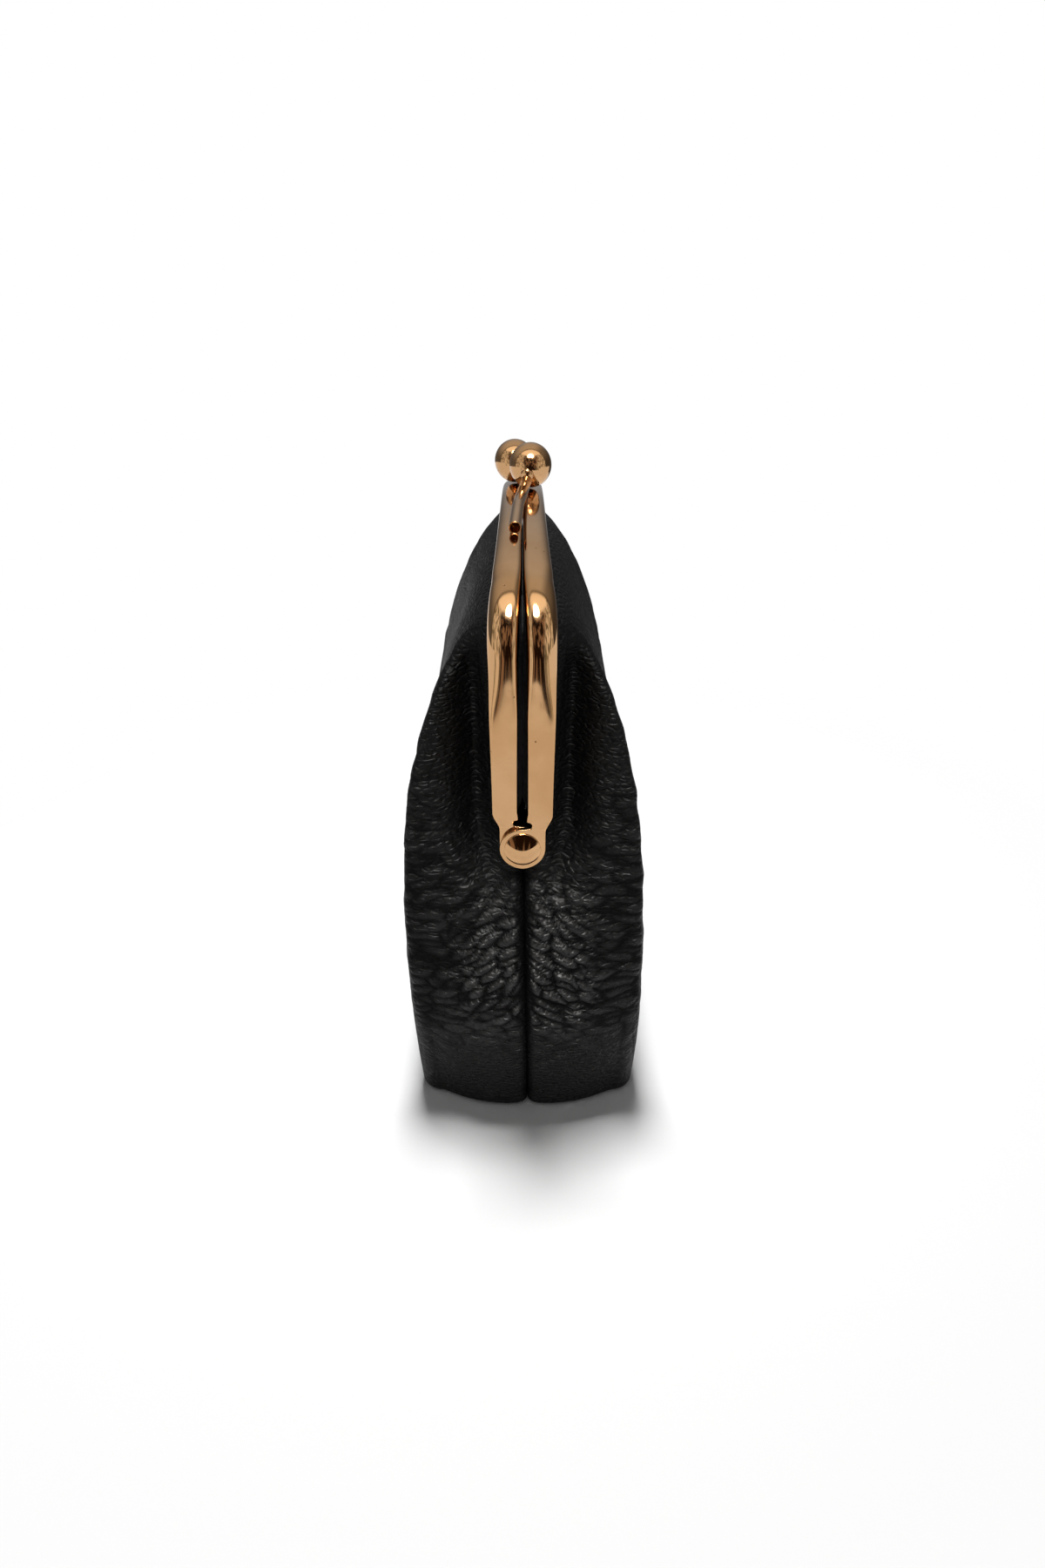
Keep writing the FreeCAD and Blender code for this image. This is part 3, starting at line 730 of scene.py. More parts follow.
@dataclass
class BowShape:
    """Line of a bow's right half by station t, from 0 at the seam past arm and corner to 1 in the middle."""

    length: float = 116.0
    top: float = 112.7
    arch_radius: float = 170.0
    corner_radius: float = 12.0
    hinge: float = 59.5
    foot_above_hinge: float = 7.2
    foot_outer: float = 5.2
    corner_foot_outer: float = 5.7
    corner_top_outer: float = 5.0
    middle_outer: float = 4.25
    foot_inner: float = 0.95
    corner_foot_inner: float = 0.7
    corner_top_inner: float = 0.2
    middle_inner: float = 0.012
    foot_at: float = 0.12
    arm_top_at: float = 0.36
    corner_at: float = 0.46
    bar_ease: float = 3.2
    bar_closed: float = 0.8

    def __post_init__(self) -> None:
        """Work out the corner's centre and where it meets the arch."""
        self.half = self.length / 2
        self.foot = self.hinge + self.foot_above_hinge
        self.arch_centre = self.top - self.arch_radius
        self.corner_x = self.half - self.corner_radius
        reach = self.arch_radius - self.corner_radius
        self.corner_z = self.arch_centre + math.sqrt(reach ** 2 - self.corner_x ** 2)
        self.corner_angle = math.atan2(self.corner_z - self.arch_centre, self.corner_x)

    def shares(self, t: Array) -> tuple[Array, Array, Array]:
        """How far along each stretch of the bow the stations are.

        Args:
            t: stations.

        Returns:
            Shares from 0 to 1 of the arm, of the corner and of the top bar.
        """
        arm = (t - self.foot_at) / (self.arm_top_at - self.foot_at)
        corner = (t - self.arm_top_at) / (self.corner_at - self.arm_top_at)
        bar = (t - self.corner_at) / (1 - self.corner_at)
        return np.clip(arm, 0, 1), np.clip(corner, 0, 1), np.clip(bar, 0, 1)

    def line(self, t: Array) -> tuple[Array, Array]:
        """Crown line: a straight arm, a corner arc and a wide arch.

        Args:
            t: stations.

        Returns:
            Points on the parting plane, and the outward direction at each.
        """
        arm, corner, bar = self.shares(t)
        angle = self.corner_angle * corner + (math.pi / 2 - self.corner_angle) * bar
        out = np.stack([np.cos(angle), np.zeros_like(angle), np.sin(angle)], axis=-1)
        bend = np.array([self.corner_x, 0.0, self.corner_z]) + out * self.corner_radius
        bend[:, 2] -= (1 - arm) * (self.corner_z - self.foot)
        arch = np.array([0.0, 0.0, self.arch_centre]) + out * self.arch_radius
        return np.where((t > self.corner_at)[:, None], arch, bend), out

    def flanges(self, t: Array) -> tuple[Array, Array]:
        """Distance from the parting plane to the flanges, eased from one stretch to the next.

        Args:
            t: stations.

        Returns:
            Distance to the outer flange and to the inner one.
        """
        arm, corner, bar = self.shares(t)
        ease = smoothstep(arm)
        outer = mix(self.foot_outer, self.corner_foot_outer, ease)
        outer = outer + (self.corner_top_outer - self.corner_foot_outer) * corner ** 2
        outer = outer + (self.middle_outer - self.corner_top_outer) * (1 - (1 - bar) ** self.bar_ease)
        inner = mix(self.foot_inner, self.corner_foot_inner, ease)
        inner = inner + (self.corner_top_inner - self.corner_foot_inner) * corner
        return outer, inner + (self.middle_inner - self.corner_top_inner) * smoothstep(bar / self.bar_closed)


@dataclass
class Bow:
    """One stamped bow: hinge tabs, tapering arms, flared corners and the arched bar, swept as one skin."""

    side: Side
    shape: BowShape
    joggled: bool
    wall: float = 0.65
    depth: float = 5.5
    tab_wall: float = 0.7
    tab_depth: float = 0.8
    tab_gap: float = 0.08
    eye: float = 4.0
    neck_above_hinge: float = 3.3
    shoulder_below_foot: float = 0.4
    notch_radius: float = 0.6
    notch_y: float = 1.05
    notch_above_hinge: float = 4.7
    edge_inner: float = 0.77
    edge_above_hinge: float = 5.45
    edge_ease_from: float = 5.4
    joggle_top: float = 19.0
    joggle_foot: float = 3.4
    run_out: float = 5.0
    arm_flat: float = 0.85
    edge_round: float = 0.34
    edge_power: float = 7.0
    crown_round: float = 1.55
    crown_power: float = 2.5
    corner_round: float = 1.5
    corner_power: float = 0.45
    corner_swell: tuple = (0.27, 0.50)
    ridge_shift: float = 0.42
    ridge_tight: float = 0.5
    crown_most: float = 0.6
    inside_least: float = 0.35
    inside_lower: float = 0.25
    inside_most: float = 0.4
    lip: float = 0.2

    def tab_rows(self) -> tuple[Array, Array, Array]:
        """Heights and edges of the hinge tab, from the bottom of its eye to the arm's foot.

        The outer edge is the eye's circle, a straight neck and an eased shoulder. The inner edge is the
        circle up to its top, a round notch, and a straight edge to the foot.

        Returns:
            Height, outer edge and inner edge of each row.
        """
        s = self.shape
        round_eye = self.eye * np.sin(np.radians(np.linspace(-87.0, 88.5, 44)))
        notch = self.notch_above_hinge + self.notch_radius * np.sin(np.radians(np.linspace(-89, 89, 15)))
        edge = np.linspace(self.edge_above_hinge, s.foot_above_hinge, 12)
        up = np.concatenate([round_eye, notch, edge])
        circle = np.sqrt(np.maximum(self.eye ** 2 - up ** 2, 0))
        shoulder = s.foot - self.shoulder_below_foot - s.hinge
        rise = smoothstep((up - self.neck_above_hinge) / (shoulder - self.neck_above_hinge))
        outer = np.where(up < 0, circle, mix(self.eye, s.foot_outer, rise))
        cut = self.notch_radius ** 2 - (up - self.notch_above_hinge) ** 2
        ease = smoothstep((up - self.edge_ease_from) / (s.foot_above_hinge - self.edge_ease_from))
        straight = mix(self.edge_inner, s.foot_inner, ease)
        inner = np.where(cut > 0, self.notch_y + np.sqrt(np.maximum(cut, 0)), straight)
        inner = np.where(up < self.eye, -circle, inner)
        return s.hinge + up, outer, inner

    def set_in(self, z: Array) -> Array:
        """How far the joggled bow's tabs, and the arms that lead to them, lie behind the other bow's.

        Args:
            z: heights.

        Returns:
            The setback at each height, 0 for the bow that is not joggled.
        """
        up = z - self.shape.hinge
        share = smoothstep((self.joggle_top - up) / (self.joggle_top - self.joggle_foot))
        return share * (self.tab_depth + self.tab_gap if self.joggled else 0.0)

    def half_rows(self) -> dict[str, Array]:
        """Middle line, outward direction, edges and section sizes of every row of the right half.

        Returns:
            Arrays by name: line, out, outer, inner, round (height of the rounded crown), power (its
            squareness), depth and wall.
        """
        s = self.shape
        z, outer, inner = self.tab_rows()
        t = np.concatenate([
            s.foot_at + np.array([0.0006, 0.0025]), np.linspace(0.128, s.arm_top_at, 34),
            np.linspace(s.arm_top_at, s.corner_at, 44)[1:], np.linspace(s.corner_at, 1.0, 64)[1:],
        ])
        arm = s.shares(t)[0]
        line, out = s.line(t)
        wide, near = s.flanges(t)
        start, stop = self.corner_swell
        swell = np.sin(np.clip((t - start) / (stop - start), 0, 1) * math.pi) ** 1.2
        flat = 1 - smoothstep(arm / self.arm_flat)
        crown = mix(self.crown_round, self.edge_round, flat) + self.corner_round * swell
        power = mix(self.crown_power, self.edge_power, flat) - self.corner_power * swell
        grown = smoothstep(arm * (s.corner_z - s.foot) / self.run_out)
        line[:, 0] -= np.where(arm < 1, self.set_in(line[:, 2]), 0.0)
        tab = np.stack([s.half - self.set_in(z), np.zeros_like(z), z], axis=-1)
        tab_out = np.broadcast_to(np.array([1.0, 0.0, 0.0]), tab.shape)
        ones = np.ones_like(z)
        return {
            "line": np.concatenate([tab, line]),
            "out": np.concatenate([tab_out, out]),
            "outer": np.concatenate([outer, wide]),
            "inner": np.concatenate([inner, near]),
            "round": np.concatenate([self.edge_round * ones, crown]),
            "power": np.concatenate([self.edge_power * ones, power]),
            "depth": np.concatenate([self.tab_depth * ones, mix(self.tab_depth, self.depth, grown)]),
            "wall": np.concatenate([self.tab_wall * ones, np.full_like(t, self.wall)]),
        }

    def section(self, rows: dict[str, Array]) -> tuple[Array, Array]:
        """Closed section of the channel at each row.

        The crown is half a superellipse, |y/h|^p + |(n+r)/r|^p = 1, with r the rounded height, p the
        squareness and h the distance from its ridge to either flange. The ridge lies nearer the inner
        flange, where the rounding is tighter too. Straight flanges run down to rounded lips, and the inside
        repeats it a wall thinner.

        Args:
            rows: arrays from half_rows.

        Returns:
            Sideways place from the section's middle, and place along the outward direction, for each point.
        """
        half = (rows["outer"] - rows["inner"]) / 2
        depth = rows["depth"]
        wall = rows["wall"]
        rounded = np.clip(rows["round"] - self.edge_round, 0, 1)
        sweep = np.radians(np.linspace(-90, 90, 45))
        power = 2 / rows["power"][:, None]
        crown_y = np.sign(np.sin(sweep)) * np.abs(np.sin(sweep)) ** power
        crown_n = np.abs(np.cos(sweep)) ** power - 1
        high = np.minimum(rows["round"], depth * self.crown_most)
        ridge = -self.ridge_shift * half * rounded
        inner_side = sweep < 0
        reach = np.where(inner_side, (half + ridge)[:, None], (half - ridge)[:, None])
        out_y = ridge[:, None] + reach * crown_y
        tight = np.where(inner_side, 1 - self.ridge_tight * rounded[:, None], 1.0)
        out_n = high[:, None] * tight * crown_n
        inside = np.maximum(half - wall, self.inside_least * half)
        drop = np.minimum(np.maximum(high - self.inside_lower, 0.05), (depth - wall) * self.inside_most)
        in_y = inside[:, None] * crown_y[:, ::4]
        in_n = -wall[:, None] + drop[:, None] * crown_n[:, ::4]
        lip = np.minimum(self.lip, (depth - wall) / 3)
        turn = np.radians(np.array([0.0, 45.0, 90.0]))
        lip_y = half[:, None] - lip[:, None] * (1 - np.cos(turn))
        lip_n = -depth[:, None] + lip[:, None] * (1 - np.sin(turn))
        run = np.linspace(0, 1, 5)[1:-1]
        flange_n = mix(out_n[:, -1:], lip_n[:, :1], run)
        inner_flange_n = mix(out_n[:, :1], lip_n[:, :1], run)
        flange_y = np.repeat(half[:, None], len(run), axis=1)
        foot_y = inside[:, None]
        foot_n = lip_n[:, -1:]
        y = np.hstack([out_y, flange_y, lip_y, foot_y, in_y[:, ::-1], -foot_y, -lip_y[:, ::-1], -flange_y])
        inner_rise = inner_flange_n[:, ::-1]
        n = np.hstack([out_n, flange_n, lip_n, foot_n, in_n[:, ::-1], foot_n, lip_n[:, ::-1], inner_rise])
        return y, n

    def build(self, gold: Material) -> Object:
        """Mesh of the bow: the right half's sections, and then the same ones mirrored in X.

        Args:
            gold: its finish.

        Returns:
            The piece.
        """
        rows = self.half_rows()
        y, n = self.section(rows)
        middle = (rows["outer"] + rows["inner"]) / 2
        right = rows["line"][:, None] + n[..., None] * rows["out"][:, None]
        right[..., 1] += middle[:, None] + y
        left = right[-2::-1] * np.array([-1.0, 1.0, 1.0])
        grid = np.concatenate([right, left])
        grid[..., 1] *= self.side.value
        piece = make_piece(self.side.label + "_bow_metal", grid, gold, closed=True, capped=True)
        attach(piece, self.side.bow)
        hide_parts(self.side.label + "_frame")
        return piece


@dataclass
class Rivet:
    """Hinge rivet with a domed head, a shank and a peened tail."""

    end: End
    face: float = 58.03
    hinge: float = 59.5
    head_radius: float = 3.2
    head_height: float = 1.0
    head_sag: float = 1.2
    edge: float = 0.12
    shank_radius: float = 1.4
    edge_lift: float = 0.4
    tail_radius: float = 2.2
    tail_height: float = 0.7
    tail_edge: float = 0.4
    grip: float = 1.74
    ring_points: int = 64

    def build(self, gold: Material) -> Object:
        """Mesh of the rivet: a profile of radius and height turned about the hinge's axis.

        The head is the dome h (1 - (r/R)^2) with a rounded rim that starts at the dome's own slope, which a
        few rounds of trial find. Its highest point sags below the axis by head_sag (1 - (r/R)^2).

        Args:
            gold: its finish.

        Returns:
            The piece.
        """
        lean = 0.0
        for _ in range(12):
            rise = self.head_height - self.edge * (self.edge_lift + math.cos(lean))
            lean = math.atan2(2 * rise, self.head_radius - self.edge + self.edge * math.sin(lean))
        rim = np.linspace(math.pi / 2 - lean, 0.0, 8)
        rim_r = self.head_radius - self.edge + self.edge * np.cos(rim)
        rim_h = self.edge * (self.edge_lift + np.sin(rim))
        dome_r = rim_r[0] * np.sin(np.radians(np.linspace(1.0, 90.0, 28)))
        fall = 1 - (dome_r / rim_r[0]) ** 2
        dome_h = rim_h[0] + (self.head_height - rim_h[0]) * fall
        profile = [np.stack([dome_r[:-1], dome_h[:-1]], -1), np.stack([rim_r, rim_h], -1)]
        profile.append(np.array([[self.head_radius, 0.0]]))
        low = -self.grip
        tail = np.radians(np.linspace(0.0, 88.0, 8))
        shank = np.array([(self.shank_radius, 0.0), (self.shank_radius, low), (self.tail_radius, low)])
        tail_r = self.tail_radius - self.tail_edge * (1 - np.cos(tail))
        tail_h = low - self.tail_height * (0.4 + 0.6 * np.sin(tail))
        profile += [shank, np.stack([tail_r, tail_h], -1), np.array([[0.05, low - self.tail_height]])]
        sign = self.end.value
        origin = np.array([sign * self.face, 0.0, self.hinge])
        grid = lathe(np.concatenate(profile), origin, np.array([sign, 0.0, 0.0]), self.ring_points)
        grid[:len(dome_r), :, 2] -= self.head_sag * fall[:, None]
        label = self.end.name.lower()
        middle = origin - np.array([sign * 0.2, 0.0, 0.0])
        piece = make_piece(label + "_rivet_metal", grid, gold, closed=True, capped=True, middle=middle)
        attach(piece, Side.BACK.bow)
        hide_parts(label + "_hinge_rivet")
        return piece


@dataclass
class Clasp:
    """One half of the kiss lock: a bent tube soldered along the bar, and the ball on its tip."""

    side: Side
    shape: BowShape
    tube_radius: float = 1.1
    bore_radius: float = 0.92
    bore_depth: float = 4.0
    ball_radius: float = 4.25
    ball_gap: float = 0.5
    ball_y: float = 1.6
    ball_lift: float = 0.07
    seat_x: float = 30.0
    seat_y: float = 1.05
    start_x: float = 35.5
    leave_x: float = 24.0
    slant: float = 0.045
    bend: float = 7.0
    solder: float = 0.03
    crown_drop: float = 1.2
    last_bend: tuple = (0.95, -1.1, 0.02)
    tip: tuple = (1.4, -0.3, -1.6)
    neck: tuple = ((1.19, 0.03), (1.13, 0.12), (1.11, 0.3))
    tube_points: int = 40
    ball_points: int = 80

    @property
    def ball(self) -> Array:
        """Middle of the front bow's ball."""
        lift = self.shape.top + self.ball_lift + self.ball_radius
        return np.array([self.ball_radius + self.ball_gap / 2, self.ball_y, lift])

    def corners(self) -> Array:
        """Corners of the front tube's middle line, which lies on the bar's crown where it is soldered.

        Returns:
            Open end, two bends and hidden tip.
        """
        s = self.shape
        lean = math.acos(self.seat_x / s.arch_radius)
        share = (lean - s.corner_angle) / (math.pi / 2 - s.corner_angle)
        station = np.array([s.corner_at + (1 - s.corner_at) * share])
        outer, inner = (float(a[0]) for a in s.flanges(station))
        point = s.line(station)[0][0]
        half = (outer - inner) / 2
        radius = (half ** 2 + self.crown_drop ** 2) / (2 * self.crown_drop)
        offset = (outer + inner) / 2 - self.seat_y
        reach = radius + self.tube_radius + self.solder
        seat = np.array([self.seat_x, -self.seat_y, point[2] - radius + math.sqrt(reach ** 2 - offset ** 2)])
        fall = self.seat_x / math.sqrt(s.arch_radius ** 2 - self.seat_x ** 2)
        along = np.array([-1.0, self.slant, fall])
        beside_ball = [self.ball[0] + self.ball_radius, self.ball[1], s.top + self.tube_radius]
        return np.array([
            seat - along * (self.start_x - self.seat_x),
            seat + along * (self.seat_x - self.leave_x),
            np.array(beside_ball) + np.array(self.last_bend),
            self.ball + np.array(self.tip),
        ])

    def path(self) -> Array:
        """Middle line of the tube: straight runs with a circular arc at each bend.

        Returns:
            Points along the line, about a third of a millimetre apart.
        """
        corners = self.corners()
        runs = []
        start = corners[0]
        for before, corner, after in zip(corners, corners[1:], corners[2:]):
            back = unit(before - corner)
            ahead = unit(after - corner)
            half_turn = (math.pi - math.acos(float(back @ ahead))) / 2
            reach = self.bend * math.tan(half_turn)
            middle = unit(back + ahead)
            centre = corner + middle * self.bend / math.cos(half_turn)
            side = unit(ahead - back)
            turn = np.linspace(-half_turn, half_turn, 18)[:, None]
            arc = centre - middle * self.bend * np.cos(turn) + side * self.bend * np.sin(turn)
            steps = max(3, int(np.linalg.norm(corner + back * reach - start) / 0.35))
            runs += [mix(start, corner + back * reach, np.linspace(0, 1, steps)[:-1, None]), arc[:-1]]
            start = corner + ahead * reach
        runs.append(mix(start, corners[-1], np.linspace(0, 1, 8)[:, None]))
        return np.concatenate(runs)

    def place(self, grid: Array) -> Array:
        """Front pieces as they are; back ones are the same turned half round about Z."""
        return grid if self.side is Side.FRONT else grid * np.array([-1.0, -1.0, 1.0])

    def build(self, gold: Material) -> list[Object]:
        """Meshes of the tube, with a rounded lip round its bore, and of the ball with its solder neck.

        Args:
            gold: their finish.

        Returns:
            The two pieces.
        """
        path = self.path()
        heading = unit(path[1] - path[0])
        lip = (self.tube_radius - self.bore_radius) / 2
        turn = np.linspace(0, math.pi, 11)
        depth = np.concatenate([[self.bore_depth, self.bore_depth], lip * (1 - np.sin(turn))])
        radius = np.concatenate([[0.02, self.bore_radius], self.bore_radius + lip * (1 - np.cos(turn))])
        inside = path[0] + heading * depth[:, None]
        across = unit(np.cross(heading, np.array([0.0, 1.0, 0.0])))
        side = np.cross(across, heading)
        angle = np.arange(self.tube_points) / self.tube_points * 2 * math.pi
        ring = np.cos(angle)[:, None] * side + np.sin(angle)[:, None] * across
        first = inside[:, None] + radius[:, None, None] * ring
        rest = ring_rows(path[1:], np.full((len(path) - 1, self.tube_points), self.tube_radius))
        grid = self.place(np.concatenate([first, rest]))
        label = self.side.label
        middle = self.place(path[len(path) // 2])
        tube = make_piece(label + "_clasp_tube_metal", grid, gold, closed=True, capped=True, middle=middle)
        entry = unit(path[-1] - path[-2])
        swing = np.radians(np.linspace(1.0, 164.0, 72))
        sphere = np.stack([np.sin(swing), np.cos(swing)], -1) * self.ball_radius
        neck = np.array([0.0, sphere[-1, 1]]) + np.array(self.neck) * np.array([1.0, -1.0])
        grid = self.place(lathe(np.concatenate([sphere, neck]), self.ball, entry, self.ball_points))
        middle = self.place(self.ball)
        ball = make_piece(label + "_clasp_ball_metal", grid, gold, closed=True, capped=True, middle=middle)
        for piece, node in ((tube, "_clasp_arm"), (ball, "_clasp_ball")):
            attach(piece, self.side.bow)
            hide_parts(label + node)
        return [tube, ball]


@dataclass
class PouchWall:
    """Middle surface of the leather of one half, by station along the bow and share of the way down."""

    shape: BowShape
    channel_wall: float = 0.65
    channel_gap: float = 0.12
    leather: float = 1.0
    rim_depth: float = 2.6
    mouth_depth: float = 6.3
    seam_below_hinge: float = 2.5
    seam_setback: float = 4.0
    seam_mouth: tuple = (1.0, 0.0, 2.0)
    base_length: float = 61.6
    base_corner_x: float = 58.0
    base_depth: float = 21.6
    base_corner: float = 4.0
    base_end_at: float = 0.32
    shoulder_out: float = 14.5
    shoulder_fall: float = 6.3
    bulge_out: float = 4.0
    bulge_height: float = 41.8
    end_bulge: float = 4.9
    turn_start: float = 0.8
    turn_end: float = 0.05
    lean: float = 1.0
    lean_above_hinge: float = 8.0
    keys: tuple = (0.0, 0.12, 0.24, 0.36, 0.41, 0.46, 0.72, 1.0)
    shoulder_x: tuple = (1.5, -2.0, -5.0, -5.0, -4.0, -2.5, -0.8, 0.0)
    shoulder_y: tuple = (0.0, 0.5, 0.75, 0.97, 1.03, 1.02, 0.92, 1.11)
    shoulder_z: tuple = (0.87, 0.63, 0.63, 0.62, 0.63, 0.65, 0.99, 1.0)
    bulge_x: tuple = (1.0, 0.9, 0.85, 0.5, 0.2, 0.0, 0.0, 0.0)
    bulge_y: tuple = (0.0, 0.39, 0.83, 1.2, 1.02, 0.78, 0.93, 0.81)
    bulge_z: tuple = (0.65, 0.75, 0.8, 1.42, 1.18, 1.0, 1.0, 1.0)
    valley_depth: float = 3.4
    valley_away: float = 8.5
    valley_away_low: float = 5.5
    valley_width: float = 3.2
    valley_below_hinge: float = 17.5
    valley_rise: float = 20.0
    lobe_height: float = 0.6
    lobe_away: float = 16.0
    lobe_width: float = 4.0
    lobe_below_hinge: float = 23.5
    lobe_rise: float = 24.0
    gather_reach: float = 20.0
    gather_ease: float = 10.0
    gather_top: float = 0.78
    gather_fade: float = 12.0
    seam_clear: float = 3.0

    def in_channel(self, t: Array, depth: float, seam: Array) -> Array:
        """Points at a depth below the crown; under the foot a quarter ellipse runs in to the seam.

        Args:
            t: stations.
            depth: distance below the crown.
            seam: where the two halves meet under the hinge.

        Returns:
            One point for each station.
        """
        s = self.shape
        line, out = s.line(t)
        outer = s.flanges(np.maximum(t, s.foot_at))[0]
        layer = outer - self.channel_wall - self.channel_gap - self.leather / 2
        above = line - out * depth
        above[:, 1] = -layer
        share = np.clip(t / s.foot_at, 0, 1)
        turn = share * math.pi / 2
        x = mix(seam[0], s.half - depth, smoothstep(share))
        under = np.stack([x, -layer * np.sin(turn), mix(seam[2], s.foot, 1 - np.cos(turn))], axis=-1)
        return np.where((t < s.foot_at)[:, None], under, above)

    def base(self, t: Array) -> Array:
        """Base outline: an end edge that swells by (1 - s^3)^1.25, a rounded corner and a straight front.

        Args:
            t: stations.

        Returns:
            One point for each station.
        """
        depth = self.base_depth - self.base_corner
        length = self.base_corner_x - self.base_corner
        corner_at = self.shape.corner_at
        share = np.clip(t / self.base_end_at, 0, 1)
        swell = (self.base_length - self.base_corner_x) * (1 - share ** 3) ** 1.25
        angle = np.clip((t - self.base_end_at) / (corner_at - self.base_end_at), 0, 1) * math.pi / 2
        at_end = t <= self.base_end_at
        x = np.where(at_end, self.base_corner_x + swell, length + self.base_corner * np.cos(angle))
        y = np.where(at_end, -depth * share, -depth - self.base_corner * np.sin(angle))
        x = np.where(t > corner_at, length * (1 - t) / (1 - corner_at), x)
        return np.stack([x, y, np.zeros_like(t)], axis=-1)

    def middle(self, t: Array, tongue: Array, turn: Array, wall: Array) -> Array:
        """Middle surface: a tongue in the channel, a rounded turn under its lip and a curve to the base.

        The turn is a quadratic Bezier and the curve is a cubic one, drawn to a shoulder and a bulge that are
        set off the mouth and the base by keyed numbers.

        Args:
            t: stations of the right half.
            tongue: shares of the tongue, from the rim to the turn.
            turn: shares of the turn.
            wall: Bezier parameters of the wall, past the turn.

        Returns:
            Stations by rows by three coordinates.
        """
        s = self.shape
        seam_rim = np.array([s.half - self.seam_setback, 0.0, s.hinge - self.seam_below_hinge])
        rim = self.in_channel(t, self.rim_depth, seam_rim)
        mouth = self.in_channel(t, self.mouth_depth, seam_rim - np.array(self.seam_mouth))
        out = [keyed(self.keys, v, t) for v in (self.shoulder_x, self.shoulder_y, self.shoulder_z)]
        push = [out[0], -self.shoulder_out * out[1], -self.shoulder_fall * out[2]]
        shoulder = mouth + np.stack(push, axis=-1)
        base = self.base(t)
        out = [keyed(self.keys, v, t) for v in (self.bulge_x, self.bulge_y, self.bulge_z)]
        push = [self.end_bulge * out[0], -self.bulge_out * out[1], self.bulge_height * out[2]]
        bulge = base + np.stack(push, axis=-1)
        rim, mouth, shoulder, bulge, base = (p[:, None] for p in (rim, mouth, shoulder, bulge, base))
        curve = (mouth, shoulder, bulge, base)
        turn_from = mix(rim, mouth, self.turn_start)
        turn_to = cubic(curve, np.array([self.turn_end]))
        k = turn[None, :, None]
        rounded = turn_from * (1 - k) ** 2 + mouth * 2 * k * (1 - k) + turn_to * k * k
        held = mix(rim, turn_from, tongue[None, :, None])
        return np.concatenate([held, rounded, self.drawn_in(cubic(curve, wall))], axis=1)

    def drawn_in(self, points: Array) -> Array:
        """Wall with a valley beside each arm and a lobe outside it, as leather gathered on a frame has.

        X falls by a bell curve about valley_away in |Y|, which closes towards the seam under the hinge, and
        rises by a bell curve about lobe_away. Both fade out near the top of the arm and below the hinge.

        Args:
            points: the smooth wall.

        Returns:
            The moved points.
        """
        s = self.shape
        above = points[..., 2] - s.hinge
        away = np.abs(points[..., 1])
        top = mix(s.foot, s.corner_z, self.gather_top)
        reach = smoothstep((points[..., 0] - s.half + self.gather_reach) / self.gather_ease)
        reach = reach * (1 - smoothstep((points[..., 2] - top) / self.gather_fade))
        low = smoothstep((above + self.valley_below_hinge) / self.valley_rise)
        middle = mix(self.valley_away_low, self.valley_away, low)
        valley = np.exp(-((away - middle) / self.valley_width) ** 2)
        valley = valley * low * smoothstep(away / self.seam_clear)
        lobe = np.exp(-((away - self.lobe_away) / self.lobe_width) ** 2)
        lobe = lobe * smoothstep((above + self.lobe_below_hinge) / self.lobe_rise)
        moved = points.copy()
        moved[..., 0] += reach * (self.lobe_height * lobe - self.valley_depth * valley)
        return moved

    def whole(self, t: Array, tongue: Array, turn: Array, wall: Array) -> tuple[Array, Array]:
        """Middle surface of the front half from the right seam to the left, and its outward normals.

        Args:
            t: stations of the right half.
            tongue: shares of the tongue.
            turn: shares of the turn.
            wall: Bezier parameters of the wall.

        Returns:
            Points and unit normals, columns by rows by three.
        """
        right = self.middle(t, tongue, turn, wall)
        points = np.concatenate([right, right[-2::-1] * np.array([-1.0, 1.0, 1.0])])
        along = np.gradient(points, axis=0)
        along[0] = np.array([0.0, -1.0, 0.0])
        along[-1] = np.array([0.0, 1.0, 0.0])
        normal = unit(np.cross(along, np.gradient(points, axis=1)))
        return points, normal

    def leaning(self, points: Array) -> Array:
        """Points with the body set a little towards +Y, most at its base and nothing above the hinge."""
        shift = self.lean * (1 - smoothstep(points[..., 2] / (self.shape.hinge + self.lean_above_hinge)))
        return points + shift[..., None] * np.array([0.0, 1.0, 0.0])


